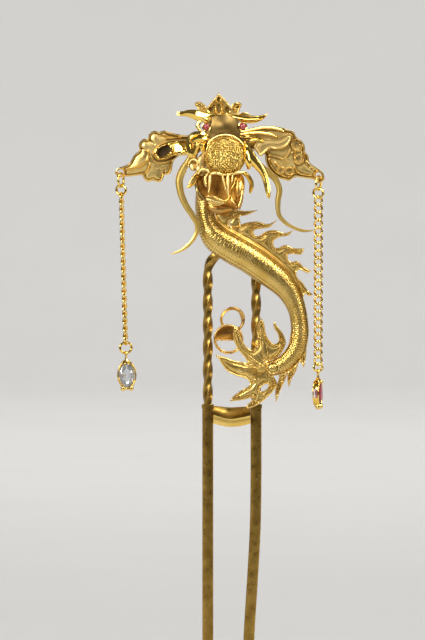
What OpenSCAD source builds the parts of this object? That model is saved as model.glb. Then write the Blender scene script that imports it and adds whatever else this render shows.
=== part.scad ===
// Two-pronged dragon hairpin with two hanging chains.
// Frame: X to the right, +Z up, the dragon faces -Y. The origin is the middle of the underside
// of the crossbar, where the pin rests in the hair.

/* [Fork] */
// Distance of each prong's centre line from the middle, at the crossbar
prong_offset = 4.85; // [4.5:0.05:5.2]
// Depth of the prong tips below the crossbar
prong_length = 78; // [60:1:90]
// Half the width of a flat prong
prong_half_w = 1.1; // [0.9:0.05:1.2]
// Half the thickness of a flat prong
prong_half_d = 0.65; // [0.5:0.05:0.7]
// Half the side of the twisted square wire
twist_half = 0.75; // [0.6:0.05:0.78]
// Length of wire in a quarter turn of the twist
twist_pitch = 4.6; // [3.5:0.1:6]
// Height of the collars where the twist begins
collar_z = 4.5; // [4:0.1:5]
// Height where the twisted uprights bend into the arch
arch_spring_z = 31; // [30:0.5:32]
// Rise of the arch over its springing
arch_rise = 4.4; // [4:0.1:4.8]

/* [Dragon] */
// Sides of the body's cross-section
body_sides = 14; // [12:2:20]
// Height of the seam rib along the belly and the back
rib_h = 0.22; // [0.1:0.02:0.3]
// Thickness of the flame fins
fin_t = 0.5; // [0.4:0.05:0.7]
// Thickness of the tail fin
tail_t = 0.7; // [0.5:0.05:0.8]
// Radius of the granulated snout dome
muzzle_r = 3.8; // [3.5:0.05:4]
// How far the snout dome stands out
muzzle_rise = 3.1; // [2.5:0.1:3.5]
// Radius of each eye stone
eye_r = 0.75; // [0.6:0.05:0.8]
// Wall of the lower jaw's shell
jaw_wall = 0.5; // [0.4:0.05:0.6]

/* [Wings] */
// Thickness of the wing plates
wing_t = 0.6; // [0.5:0.05:0.7]
// Width of the raised rim of a wing plate
rim_w = 0.45; // [0.3:0.05:0.6]
// Height of the rim and of the scroll ribs over a wing plate
relief_h = 0.22; // [0.15:0.01:0.25]

/* [Chains] */
// Radius of the chain wire
wire_r = 0.2; // [0.16:0.01:0.21]
// Half the width of a curb link, at its wire's middle
link_half_w = 0.72; // [0.68:0.02:0.78]
// Half the length of a curb link, at its wire's middle
link_half_l = 1.05; // [1:0.01:1.1]
// Turn of each end of a curb link out of its own plane
link_twist = 55; // [50:1:60]
// Distance from link to link on the left chain
pitch_left = 1.49; // [1.47:0.01:1.5]
// Distance from link to link on the right chain
pitch_right = 1.52; // [1.5:0.01:1.53]
// Number of curb links on the left chain
links_left = 20; // [10:1:20]
// Number of curb links on the right chain
links_right = 22; // [10:1:22]

/* [Drops] */
// Half the width of a drop's stone
stone_half_w = 1.6; // [1.4:0.05:1.8]
// Half the height of a drop's stone
stone_half_h = 2.6; // [2.3:0.05:2.8]
// Wall of the setting round the stone
setting_wall = 0.32; // [0.25:0.01:0.4]
// Depth of the setting
setting_depth = 1.5; // [1.2:0.1:1.8]

/* [Hidden] */
gold = "goldenrod";
// Gap between neighbouring pieces
seam = 0.1;
// Middle of the head, seen from the front
head_x = -1.6;
// Front face of the skull, which carries the muzzle
face_y = -7;
// Middles of the eyes
eye_at_left = [-5.1, -6.75, 60.15];
eye_at_right = [2.1, -6.75, 60.25];
// Middle of the snout dome
muzzle_x = -1.4;
muzzle_z = 54.3;
// Back faces of the flat pieces: each runs forward from here by its thickness
fin_y = -3.1;
tail_y = -1.25;
wing_y = -4.2;
ear_y = -5.15;
crest_y = -4.9;
// Holes in the wing tips that carry the chains
hole_r = 0.6;
hole_left = [-22.2, 51.1];
hole_right = [17.2, 50.5];
chain_y = wing_y - wing_t / 2;
// Leaning of the left chain, as it hangs in the photo's view
lean_left = 1.6;

// Body of the dragon from the neck to the tail
// columns: x, y, z, half width, half depth
BODY = [
    [-2.9, -3.2, 52.7, 1.7, 1.6],
    [-4.2, -3.3, 50.4, 1.7, 1.7],
    [-5.2, -3.4, 47.8, 1.6, 1.7],
    [-5.5, -3.4, 44.4, 1.55, 1.7],
    [-5.1, -3.4, 41.4, 1.65, 1.8],
    [-4.2, -3.4, 39.4, 2.2, 2.1],
    [-2.7, -3.45, 37.7, 2.6, 2.2],
    [0.2, -3.5, 35.8, 2.7, 2.25],
    [3.4, -3.5, 34.0, 2.7, 2.25],
    [6.8, -3.4, 31.6, 2.6, 2.1],
    [9.9, -3.2, 29.1, 2.35, 1.9],
    [11.7, -3.0, 26.7, 1.9, 1.6],
    [13.0, -2.9, 23.6, 1.5, 1.4],
    [13.5, -2.8, 20.6, 1.45, 1.3],
    [13.5, -2.7, 18.5, 1.5, 1.3],
    [12.9, -2.5, 15.7, 1.5, 1.25],
    [11.1, -2.2, 13.3, 1.45, 1.15],
    [9.1, -1.9, 12.1, 1.35, 1.0],
    [7.6, -1.7, 11.8, 1.15, 0.75]];
body_steps = 2;

// Flames of the dorsal fin: the upper edge out to the tip, then the lower edge back to the notch
// columns of each point: x, z
DORSAL = [
    [[[-4.0, 42.7], [-2.2, 43.4], [0.3, 43.7], [2.7, 43.4], [5.2, 43.6]],
     [[5.2, 43.6], [3.1, 42.6], [0.9, 42.2], [-0.4, 41.5], [-0.6, 40.5]]],
    [[[-0.6, 40.5], [0.7, 40.0], [2.3, 40.9], [4.9, 41.3], [7.2, 40.8], [9.0, 41.6]],
     [[9.0, 41.6], [7.6, 40.2], [6.0, 39.9], [4.5, 39.6], [4.3, 38.8]]],
    [[[4.3, 38.8], [5.3, 38.4], [6.8, 39.3], [8.6, 39.6], [10.5, 39.0], [12.2, 39.5]],
     [[12.2, 39.5], [11.3, 38.5], [9.6, 38.2], [8.3, 37.4], [8.4, 36.3]]],
    [[[8.4, 36.3], [9.2, 36.0], [10.7, 36.6], [12.3, 36.0], [14.5, 35.9]],
     [[14.5, 35.9], [13.8, 34.7], [12.4, 34.8], [11.2, 34.7], [11.2, 33.6]]],
    [[[11.2, 33.6], [12.0, 33.2], [13.1, 33.4], [14.4, 32.2], [15.9, 31.4]],
     [[15.9, 31.4], [15.0, 31.0], [13.4, 31.7], [12.8, 30.8]]],
    [[[12.8, 30.8], [13.2, 30.0], [14.2, 29.0], [15.0, 27.7], [16.2, 26.7]],
     [[16.2, 26.7], [15.4, 26.3], [14.7, 26.9], [14.2, 26.0], [14.0, 24.6]]]];
DORSAL_SPAN = [3, 12];

// Spikes on the outer side near the tail, in the same form
SPIKES = [
    [[[14.6, 18.2], [14.9, 15.6], [14.8, 14.0], [14.4, 11.8]],
     [[14.4, 11.8], [13.9, 12.9], [13.3, 13.0]]],
    [[[13.3, 13.0], [12.9, 11.4], [12.0, 9.8], [11.4, 7.9]],
     [[11.4, 7.9], [11.1, 9.6], [11.2, 11.0]]],
    [[[11.2, 11.0], [10.6, 9.4], [9.8, 7.6], [8.8, 4.9]],
     [[8.8, 4.9], [8.7, 7.3], [9.3, 9.4], [9.5, 10.6]]]];
SPIKE_SPAN = [14, 17];

// Edges of the tail fin from tip to notch, going round from the upper right strand
// columns of each point: x, z
TAIL = [
    [[7.0, 12.9], [9.1, 14.0], [10.1, 15.2], [10.8, 16.9], [10.2, 18.8], [9.2, 20.1], [8.4, 21.4]],
    [[8.4, 21.4], [8.4, 20.0], [9.2, 18.6], [9.4, 17.4], [8.8, 16.7], [8.0, 16.9]],
    [[8.0, 16.9], [7.2, 17.9], [6.7, 19.2], [6.5, 20.6], [6.0, 21.9]],
    [[6.0, 21.9], [5.1, 20.6], [4.9, 19.2], [5.2, 17.8], [4.9, 16.3], [3.9, 15.4]],
    [[3.9, 15.4], [2.7, 16.4], [1.9, 18.0], [1.5, 19.4], [0.4, 20.2]],
    [[0.4, 20.2], [0.2, 19.0], [0.4, 17.4], [1.2, 15.6], [2.5, 14.1], [3.2, 12.9]],
    [[3.2, 12.9], [0.7, 13.3], [-1.0, 13.9], [-3.0, 14.4]],
    [[-3.0, 14.4], [-2.2, 12.9], [-1.0, 11.3], [0.9, 10.3], [2.9, 9.7], [3.7, 8.7]],
    [[3.7, 8.7], [3.2, 8.1], [1.9, 7.4], [0.3, 6.2], [-0.5, 5.1]],
    [[-0.5, 5.1], [1.9, 5.4], [3.6, 5.8], [4.4, 6.2]],
    [[4.4, 6.2], [3.8, 5.1], [2.8, 4.2], [3.2, 3.7]],
    [[3.2, 3.7], [4.7, 4.2], [6.5, 5.4], [8.1, 7.0], [9.1, 8.6], [8.2, 10.4]]];
// Oval hole between the lowest strand and the fin
tail_hole = [6.5, 7.9];
tail_hole_half_l = 1.05;
tail_hole_half_w = 0.5;
tail_hole_tilt = 38;

// Outer rings of the scroll behind the tail
// columns: x, z, outer radius
SCROLL = [[0.1, 21.5, 2.5], [-0.7, 17.6, 3.0]];
scroll_strip = 0.55;
scroll_web_drop = 0.3;
scroll_y = 0.4;
scroll_depth = 1.5;

// Skull from the back of the head to the face
// columns: y, middle height, half width, half height
SKULL = [
    [-2.2, 58.6, 1.4, 1.5],
    [-2.8, 58.5, 2.9, 2.7],
    [-4.0, 58.0, 3.9, 4.0],
    [-5.3, 57.4, 4.1, 4.7],
    [-6.3, 57.1, 4.0, 5.0],
    [face_y, 57.0, 3.6, 4.8]];
skull_sides = 16;

// Lower jaw from the throat to its tip
// columns: z, middle x, half width, back y, rim y
JAW = [
    [51.0, -2.8, 4.9, -5.6, -7.2],
    [49.4, -2.7, 4.9, -5.8, -7.7],
    [47.4, -2.4, 4.7, -6.0, -8.0],
    [45.8, -1.8, 4.0, -6.4, -8.2],
    [44.7, -0.8, 2.7, -6.9, -8.4],
    [43.8, 0.9, 0.7, -7.9, -8.7]];
jaw_arc_sides = 8;

// Curled strands of the head
// columns: x, y, z, half width, half depth
TONGUE = [
    [-4.4, -7.8, 45.8, 0.3, 0.25],
    [-3.6, -7.75, 46.5, 0.4, 0.3],
    [-2.4, -7.85, 46.5, 0.45, 0.3],
    [-1.3, -8.1, 45.8, 0.4, 0.3],
    [-0.5, -8.6, 45.6, 0.3, 0.25],
    [0.1, -9.0, 46.2, 0.12, 0.1]];
LIP = [
    [-6.6, -7.9, 51.6, 0.35, 0.35],
    [-5.0, -8.5, 50.6, 0.35, 0.35],
    [-3.2, -8.9, 50.3, 0.35, 0.35],
    [-1.4, -9.0, 50.2, 0.35, 0.35],
    [0.4, -8.9, 50.4, 0.35, 0.35],
    [1.9, -8.5, 51.2, 0.35, 0.35]];
FRINGE = [
    [[-6.5, -7.9, 51.5, 0.45, 0.35], [-7.7, -8.3, 50.2, 0.5, 0.35],
     [-8.4, -8.4, 49.0, 0.35, 0.3], [-9.2, -8.3, 48.1, 0.08, 0.08]],
    [[-4.9, -8.5, 50.6, 0.4, 0.35], [-5.3, -8.8, 49.6, 0.4, 0.35],
     [-5.2, -8.9, 48.4, 0.35, 0.3], [-4.6, -8.9, 47.2, 0.08, 0.08]],
    [[-2.0, -9.0, 50.3, 0.6, 0.35], [-1.2, -9.4, 49.2, 0.6, 0.35],
     [-0.8, -9.6, 47.8, 0.45, 0.3], [-0.8, -9.5, 46.0, 0.08, 0.08]],
    [[1.6, -8.6, 51.0, 0.4, 0.35], [2.9, -8.9, 50.3, 0.5, 0.4],
     [3.6, -9.0, 49.0, 0.5, 0.4], [3.5, -9.0, 46.9, 0.15, 0.12]]];
CHEEK_LEFT = [
    [[-5.7, -7.3, 57.5, 0.5, 0.2], [-7.0, -7.2, 58.3, 0.9, 0.5], [-8.5, -6.9, 57.4, 0.9, 0.5],
     [-8.9, -6.8, 55.8, 0.7, 0.45], [-8.3, -7.0, 53.8, 0.1, 0.1]],
    [[-5.8, -7.5, 58.6, 0.4, 0.3], [-6.8, -7.6, 57.0, 0.7, 0.5],
     [-7.2, -7.6, 55.6, 0.5, 0.4], [-6.8, -7.6, 54.1, 0.1, 0.1]],
    [[-7.9, -6.9, 57.9, 0.5, 0.4], [-6.5, -7.5, 56.2, 0.5, 0.4],
     [-6.35, -7.6, 54.3, 0.4, 0.35], [-6.5, -7.6, 52.7, 0.1, 0.1]]];
CHEEK_RIGHT = [
    [[3.3, -7.3, 57.6, 0.3, 0.2], [3.5, -7.4, 56.2, 0.5, 0.4], [3.9, -7.5, 54.3, 0.8, 0.5],
     [4.7, -7.4, 52.5, 0.75, 0.45], [5.9, -7.3, 50.8, 0.6, 0.4], [6.6, -7.3, 48.6, 0.4, 0.35],
     [7.3, -7.2, 46.0, 0.08, 0.08]],
    [[3.8, -7.3, 55.0, 0.5, 0.4], [3.5, -7.8, 53.4, 0.55, 0.4],
     [3.8, -8.0, 52.2, 0.4, 0.3], [4.3, -8.0, 51.3, 0.1, 0.1]]];
WHISKER_LEFT = [
    [-8.9, -6.6, 53.2, 0.5, 0.35],
    [-9.8, -6.8, 51.6, 0.75, 0.4],
    [-10.5, -7.0, 49.6, 0.75, 0.4],
    [-10.2, -7.0, 47.0, 0.7, 0.4],
    [-9.2, -6.9, 44.6, 0.65, 0.4],
    [-7.9, -6.7, 42.6, 0.6, 0.4],
    [-7.0, -6.5, 40.8, 0.5, 0.35],
    [-7.1, -6.3, 39.0, 0.45, 0.35],
    [-8.4, -6.2, 37.0, 0.4, 0.3],
    [-10.2, -6.2, 35.6, 0.3, 0.25],
    [-12.2, -6.2, 34.9, 0.08, 0.08]];
WHISKER_RIGHT = [
    [5.9, -6.5, 52.4, 0.35, 0.3],
    [7.2, -6.4, 51.0, 0.55, 0.35],
    [8.6, -6.3, 49.7, 0.6, 0.35],
    [9.4, -6.3, 47.7, 0.6, 0.35],
    [9.1, -6.3, 45.2, 0.55, 0.35],
    [9.3, -6.2, 42.8, 0.45, 0.3],
    [10.4, -6.1, 41.3, 0.4, 0.3],
    [12.1, -6.0, 40.2, 0.35, 0.25],
    [14.2, -5.9, 39.5, 0.3, 0.2],
    [16.2, -5.8, 39.6, 0.08, 0.08]];
HORN_LEFT = [
    [-3.1, -6.6, 62.5, 0.3, 0.3],
    [-4.4, -6.6, 62.2, 0.6, 0.45],
    [-5.8, -6.8, 62.0, 1.1, 0.5],
    [-7.4, -6.8, 62.3, 1.15, 0.45],
    [-8.8, -6.6, 62.5, 0.9, 0.4],
    [-10.0, -6.4, 62.6, 0.55, 0.3],
    [-11.0, -6.3, 63.0, 0.1, 0.1]];
HORN_RIGHT = [
    [-0.4, -6.6, 62.4, 0.3, 0.3],
    [1.4, -6.6, 62.0, 0.45, 0.4],
    [3.2, -6.8, 61.6, 0.62, 0.45],
    [5.0, -6.8, 61.6, 0.66, 0.4],
    [6.2, -6.6, 62.0, 0.45, 0.3],
    [7.1, -6.4, 62.6, 0.08, 0.08]];

// Crown ornament: right and left halves of its outline up to the apex, and its round piercings
// columns of each point: x, z
CREST_EDGES = [
    [[-4.3, 62.0], [-5.4, 62.9], [-6.6, 63.5], [-7.5, 64.7], [-6.6, 65.2], [-5.5, 64.6], [-4.9, 63.8]],
    [[-4.9, 63.8], [-4.4, 64.7], [-3.9, 65.4], [-3.2, 65.9], [-2.7, 67.1]],
    [[-2.7, 67.1], [-2.1, 65.9], [-1.3, 65.3], [-0.7, 64.7], [-0.3, 63.9]],
    [[-0.3, 63.9], [0.5, 64.7], [1.4, 65.1], [1.9, 64.5], [1.5, 63.6], [1.3, 62.8], [0.6, 62.2]],
    [[0.6, 62.2], [-0.4, 62.3], [-1.9, 62.35], [-3.3, 62.3], [-4.3, 62.0]]];
// Blind hollows of the crest
// columns: x, z, half width, half height
CREST_HOLLOWS = [
    [-2.65, 63.75, 0.38, 1.0], [-2.7, 65.5, 0.3, 0.5], [-4.45, 63.5, 0.4, 0.6],
    [-0.95, 63.5, 0.4, 0.6], [1.05, 64.15, 0.4, 0.28]];
crest_floor = 0.25;
crest_t = 0.6;

// Outlines of the wing plates from the tip over the top to the head and back below
// columns: x, z
WING_LEFT = [
    [-23.3, 50.9], [-22.9, 51.9], [-21.8, 52.3], [-20.5, 52.9], [-19.8, 54.1], [-19.2, 54.9],
    [-18.5, 55.4], [-18.6, 56.5], [-18.1, 57.5], [-17.4, 57.8], [-16.8, 57.7], [-16.6, 58.6],
    [-16.0, 59.2], [-15.2, 59.4], [-14.5, 59.1], [-13.6, 59.5], [-12.6, 59.1], [-11.1, 58.8],
    [-9.3, 58.5], [-6.6, 58.5], [-5.85, 57.6], [-6.0, 55.6], [-7.6, 54.6], [-10.1, 54.4],
    [-11.3, 53.8], [-11.8, 52.8], [-12.0, 51.6], [-12.6, 50.7], [-13.5, 50.5], [-13.8, 49.7],
    [-14.4, 49.2], [-15.1, 49.2], [-15.8, 49.5], [-16.6, 49.2], [-17.5, 49.7], [-17.9, 50.5],
    [-18.6, 50.5], [-20.0, 50.3], [-21.6, 50.2], [-22.7, 50.1]];
WING_RIGHT = [
    [18.4, 49.6], [18.2, 50.9], [17.4, 51.7], [16.2, 52.5], [15.4, 53.2], [15.2, 54.5],
    [14.5, 55.2], [14.5, 56.3], [13.8, 57.5], [12.9, 58.1], [12.3, 59.2], [11.2, 59.6],
    [10.0, 60.0], [8.0, 60.3], [5.6, 60.1], [3.3, 59.5], [2.65, 58.4], [2.75, 56.6],
    [4.2, 55.5], [6.3, 54.9], [6.6, 53.7], [7.0, 52.2], [7.9, 51.0], [9.2, 50.0],
    [10.5, 49.6], [11.4, 49.4], [12.2, 49.9], [12.9, 50.2], [14.7, 49.9], [16.4, 49.6],
    [17.3, 48.9]];
// Raised scroll ribs on the wings
// columns: x, z, half width
RIBS_LEFT = [
    [[-20.8, 51.5, 0.12], [-18.6, 52.6, 0.15], [-16.8, 53.6, 0.15], [-16.2, 55.6, 0.15], [-15.0, 57.6, 0.12]],
    [[-18.2, 51.4, 0.12], [-16.4, 51.4, 0.15], [-14.8, 52.2, 0.15], [-13.4, 52.0, 0.12]],
    [[-14.8, 58.6, 0.12], [-12.6, 58.2, 0.15], [-10.4, 57.9, 0.12]]];
RIBS_RIGHT = [
    [[4.0, 59.2, 0.12], [6.4, 59.5, 0.15], [8.8, 59.3, 0.15], [10.4, 58.9, 0.12]],
    [[4.4, 58.4, 0.12], [6.6, 58.7, 0.15], [8.8, 58.3, 0.15], [10.2, 57.8, 0.12]],
    [[16.4, 51.0, 0.12], [14.2, 52.0, 0.15], [12.8, 53.4, 0.15], [12.6, 55.2, 0.12]],
    [[13.6, 51.2, 0.12], [11.8, 51.4, 0.15], [10.0, 52.6, 0.15], [8.4, 52.4, 0.12]]];

// Outlines of the polished leaf ears
// columns: x, z
EAR_LEFT = [
    [-9.0, 57.35], [-10.8, 57.5], [-12.4, 57.4], [-13.8, 56.95], [-15.0, 56.15], [-15.65, 55.1],
    [-15.5, 54.2], [-14.6, 53.65], [-13.2, 53.75], [-11.8, 54.3], [-10.4, 54.55], [-9.4, 54.75], [-8.5, 56.1]];
// Hollow in the left ear: middle, half width and half height, slant, floor thickness
EAR_PIT = [[-13.55, 55.35], [1.5, 0.85], 30, 0.15];
EAR_RIGHT = [
    [4.6, 57.2], [4.2, 56.4], [4.8, 55.2], [5.6, 54.3], [6.5, 54.9], [7.5, 55.7], [9.2, 55.6],
    [10.6, 56.1], [11.6, 57.2], [11.7, 58.2], [10.9, 58.5], [9.2, 57.9], [7.2, 57.9], [5.6, 57.9]];
ear_t = 0.55;

// Point on a smooth curve through a table's rows, at a place counted in rows
function row_at(rows, place) =
    let (last = len(rows) - 1,
         i = min(floor(place), last - 1),
         f = place - i,
         a = rows[max(i - 1, 0)], b = rows[i], c = rows[i + 1], d = rows[min(i + 2, last)])
    b + 0.5 * f * (c - a + f * (2 * a - 5 * b + 4 * c - d + f * (3 * (b - c) + d - a)));

// The rows of a table with smooth steps between them
function smooth(rows, steps = 3) =
    [for (k = [0 : (len(rows) - 1) * steps]) row_at(rows, k / steps)];

// The same for a closed outline
function smooth_loop(rows, steps = 3) =
    let (n = len(rows), wide = [for (k = [-1 : n + 1]) rows[(k + n) % n]])
    [for (k = [0 : n * steps - 1]) row_at(wide, 1 + k / steps)];

function unit(v) = v / norm(v);
function place_of(row) = [row[0], row[1], row[2]];

// Direction of travel at a row of a table of x, y, z
function heading(rows, i) =
    unit(place_of(rows[min(i + 1, len(rows) - 1)]) - place_of(rows[max(i - 1, 0)]));

// Ring of an oval section: extra is added across, at both edges of the oval
function oval_ring(rows, i, sides, extra = 0) =
    let (t = heading(rows, i),
         across = unit(cross([0, 1, 0], t)),
         out = cross(t, across),
         r = rows[i])
    [for (k = [0 : sides - 1])
        let (a = 360 * k / sides, edge = abs(cos(a)) > 0.999 ? extra : 0)
        place_of(r) + across * cos(a) * (r[3] + edge) + out * sin(a) * r[4]];

// Solid skin over a list of rings, with a flat cap at each end. The rings of a doubled skin run out and back,
// as round the wall of a shell, and its caps are split across that wall.
module skin(rings, doubled = false) {
    n = len(rings[0]);
    m = len(rings);
    last = (m - 1) * n;
    sides = [for (k = [0 : m - 2], i = [0 : n - 1])
        let (a = k * n + i, b = k * n + (i + 1) % n)
        each [[a, a + n, b + n], [a, b + n, b]]];
    whole_caps = [[for (i = [0 : n - 1]) i], [for (i = [n - 1 : -1 : 0]) last + i]];
    split_caps = [for (k = [0 : n / 2 - 2])
        each [[k, k + 1, n - 2 - k, n - 1 - k], [last + n - 1 - k, last + n - 2 - k, last + k + 1, last + k]]];
    caps = doubled ? split_caps : whole_caps;
    polyhedron([for (ring = rings) each ring], concat(sides, caps), convexity = 6);
}

// Tapering strand of oval section along a table
module strand(rows, sides = 6, steps = 2) {
    fine = smooth(rows, steps);
    skin([for (i = [0 : len(fine) - 1]) oval_ring(fine, i, sides)]);
}

// Flat piece drawn in X and Z, running forward from back_y by its thickness
module plate(back_y, thickness) {
    translate([0, back_y, 0]) rotate([90, 0, 0]) linear_extrude(thickness) children();
}

// Outline of the fork's wire from the left tip over the arch to the right tip
// columns: x, z, half width, half thickness, bevel, turn
tip_z = -prong_length;
// Centre line of the right prong below the collar, which bends inward
// columns: z, x
RIGHT_RUN = smooth([[3.5, prong_offset], [-12, 4.85], [-22, 4.65], [-32, 4.1], [-42, 3.5], [-56, 3.0],
    [tip_z + 5, 2.8]], 2);
leg_section = [prong_half_w, prong_half_d, 0.3];
function fork_row(x, z, section, turn = 0) = [x, z, section[0], section[1], section[2], turn];
tip_sections = [[0.35, 0.3, 0.1], [0.8, 0.5, 0.2], [1.0, 0.6, 0.25]];
tip_rise = [0, 0.7, 2];
collar_section = [prong_half_w + 0.12, prong_half_d + 0.12, 0.3];
twist_section = [twist_half, twist_half, 0.1];
upright = arch_spring_z - collar_z;
arch_half_turn = PI * (prong_offset + arch_rise) / 2;
twist_length = 2 * upright + arch_half_turn;
twist_steps = ceil(twist_length / twist_pitch * 4);
// Place on the twisted wire at a distance from the left collar
function twist_place(s) =
    s < upright ? [-prong_offset, collar_z + s] :
    s > upright + arch_half_turn ? [prong_offset, collar_z + twist_length - s] :
    let (a = 180 * (1 - (s - upright) / arch_half_turn))
    [prong_offset * cos(a), arch_spring_z + arch_rise * sin(a)];
quarter = twist_length / round(twist_length / twist_pitch);
FORK = concat(
    [for (k = [0 : 2]) fork_row(-prong_offset, tip_z + tip_rise[k], tip_sections[k])],
    [fork_row(-prong_offset, tip_z + 5, leg_section),
     fork_row(-prong_offset, -20, leg_section),
     fork_row(-prong_offset, collar_z - 0.9, leg_section),
     fork_row(-prong_offset, collar_z - 0.8, collar_section),
     fork_row(-prong_offset, collar_z - 0.1, collar_section)],
    [for (k = [0 : twist_steps])
        let (s = twist_length * k / twist_steps, p = twist_place(s))
        fork_row(p[0], p[1], twist_section, 90 * s / quarter)],
    [fork_row(prong_offset, collar_z - 0.1, collar_section),
     fork_row(prong_offset, collar_z - 0.8, collar_section),
     fork_row(prong_offset, collar_z - 0.9, leg_section)],
    [for (row = RIGHT_RUN) if (row[0] < 0) fork_row(row[1], row[0], leg_section)],
    [for (k = [2 : -1 : 0]) fork_row(RIGHT_RUN[len(RIGHT_RUN) - 1][1], tip_z + tip_rise[k], tip_sections[k])]);

// Ring of eight points with bevelled corners, turned about the wire
function bevel_ring(i) =
    let (r = FORK[i],
         a = FORK[max(i - 1, 0)], b = FORK[min(i + 1, len(FORK) - 1)],
         t = unit([b[0] - a[0], 0, b[1] - a[1]]),
         across = cross([0, 1, 0], t),
         w = r[2], d = r[3], c = r[4],
         corners = [[w, -d + c], [w, d - c], [w - c, d], [c - w, d],
                    [-w, d - c], [-w, c - d], [c - w, -d], [w - c, -d]])
    [for (q = corners)
        let (u = q[0] * cos(r[5]) - q[1] * sin(r[5]), v = q[0] * sin(r[5]) + q[1] * cos(r[5]))
        [r[0], 0, r[1]] + across * u + [0, 1, 0] * v];

// Crossbar: a smile-curved strip with an upper face that slopes forward
// columns: x, top back height, ridge height, underside height
CROSSBAR = [
    [-4.9, 4.2, 2.7, 0.9], [-3.2, 4.1, 2.3, 0.5], [-0.6, 3.8, 1.6, 0.0], [2.0, 3.9, 1.9, 0.2],
    [4.9, 4.1, 2.6, 1.0]];
crossbar_back = 0.45;
crossbar_ridge = -1.5;
crossbar_front = -1.3;

module fork() {
    color(gold) union() {
        skin([for (i = [0 : len(FORK) - 1]) bevel_ring(i)]);
        skin([for (r = smooth(CROSSBAR, 3))
            [[r[0], crossbar_back, r[3] + 0.2], [r[0], crossbar_back, r[1]],
             [r[0], crossbar_back - 0.3, r[1]], [r[0], crossbar_ridge, r[2]],
             [r[0], crossbar_front, r[3]]]]);
    }
}

// Dragon

body_rows = smooth(BODY, body_steps);
module dragon_body() {
    color(gold)
        skin([for (i = [0 : len(body_rows) - 1]) oval_ring(body_rows, i, body_sides, rib_h)]);
}

// Edge of the body seen from the front, pushed out by a gap: side is 1 for the belly, -1 the back
function body_edge(i, side, gap) =
    let (t = heading(body_rows, i), across = unit(cross([0, 1, 0], t)), r = body_rows[i],
         p = place_of(r) + across * side * (r[3] + rib_h + gap))
    [p[0], p[2]];
module body_shadow(gap) {
    last = len(body_rows) - 1;
    t = heading(body_rows, last);
    beyond = [t[0], t[2]] * gap;
    polygon(concat([for (i = [0 : last]) body_edge(i, 1, gap)],
                   [body_edge(last, 1, gap) + beyond, body_edge(last, -1, gap) + beyond],
                   [for (i = [last : -1 : 0]) body_edge(i, -1, gap)]));
}

// Outline of a row of flames whose root runs inside the body
function flame_outline(flames, span) =
    concat([for (flame = flames, edge = flame) each smooth(edge)],
           [for (k = [span[1] : -1 : span[0]]) [BODY[k][0], BODY[k][2]]]);
module flames(table, span, back_y) {
    color(gold) plate(back_y, fin_t) difference() {
        polygon(flame_outline(table, span));
        body_shadow(seam);
    }
}
module dorsal_fins() flames(DORSAL, DORSAL_SPAN, fin_y);
module tail_spikes() flames(SPIKES, SPIKE_SPAN, fin_y + 0.8);

module tail_fin() {
    color(gold) plate(tail_y, tail_t) difference() {
        polygon([for (edge = TAIL) each smooth(edge)]);
        body_shadow(seam);
        translate(tail_hole) rotate(tail_hole_tilt) polygon([for (k = [0 : 19])
            [tail_hole_half_l * cos(18 * k), tail_hole_half_w * sin(18 * k)]]);
    }
}

// Disc of one ring of the scroll, drawn in by a wall
module scroll_disc(ring, wall = 0) {
    translate([ring[0], ring[1]]) circle(r = ring[2] - wall, $fn = 48);
}

// Two strip rings, with a web across the upper half of the lower one
module tail_scroll() {
    upper = SCROLL[0];
    lower = SCROLL[1];
    color(gold) plate(scroll_y, scroll_depth) difference() {
        union() {
            scroll_disc(upper);
            scroll_disc(lower);
        }
        difference() {
            scroll_disc(upper, scroll_strip);
            scroll_disc(lower);
        }
        difference() {
            scroll_disc(lower, scroll_strip);
            translate([lower[0] - lower[2], lower[1] - scroll_web_drop]) square(2 * lower[2]);
        }
    }
}

// Head

// Rounded, squarish section of the skull
function skull_ring(r) =
    [for (k = [0 : skull_sides - 1])
        let (a = 360 * k / skull_sides, c = cos(a), s = sin(a))
        [head_x + r[2] * sign(c) * pow(abs(c), 0.8), r[0], r[1] + r[3] * sign(s) * pow(abs(s), 0.8)]];
module skull() {
    color(gold) difference() {
        skin([for (r = smooth(SKULL, 2)) skull_ring(r)]);
        for (at = [eye_at_left, eye_at_right]) translate(at) sphere(r = eye_r + 0.08, $fn = 24);
    }
}

module muzzle() {
    base_y = face_y - seam;
    ball_r = (pow(muzzle_r, 2) + pow(muzzle_rise, 2)) / (2 * muzzle_rise);
    color(gold) difference() {
        union() {
            translate([muzzle_x, base_y + ball_r - muzzle_rise, muzzle_z]) sphere(r = ball_r, $fn = 48);
            translate([muzzle_x, base_y, muzzle_z]) rotate([90, 0, 0])
                cylinder(r = muzzle_r + 0.35, h = 0.5, $fn = 48);
        }
        translate([muzzle_x - 10, base_y, muzzle_z - 10]) cube(20);
        translate([muzzle_x - 10, base_y - 15, muzzle_z - 3.4 - 20]) cube(20);
    }
}

module eye(at) {
    color("crimson") translate(at) sphere(r = eye_r, $fn = 24);
}

module lip_fringe() {
    color(gold) union() {
        strand(LIP);
        for (rows = FRINGE) strand(rows);
    }
}

// Ring of the jaw's shell: the outer arc, then the inner arc back
function jaw_ring(r) =
    let (wall = min(jaw_wall, r[2] * 0.6),
         dip = r[4] - r[3],
         inner_w = r[2] - wall)
    concat(
        [for (k = [0 : jaw_arc_sides]) let (a = 180 - 180 * k / jaw_arc_sides)
            [r[1] + r[2] * cos(a), r[3] + dip * (1 - sin(a)), r[0]]],
        [for (k = [0 : jaw_arc_sides]) let (a = 180 * k / jaw_arc_sides)
            [r[1] + inner_w * cos(a), r[3] - wall * sin(a) + dip * (1 - sin(a)), r[0]]]);
module jaw() {
    color(gold) skin([for (r = smooth(JAW, 2)) jaw_ring(r)], doubled = true);
}

module tongue() {
    color(gold) strand(TONGUE);
}

module cheek(table) {
    color(gold) union() {
        for (rows = table) strand(rows);
    }
}

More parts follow.
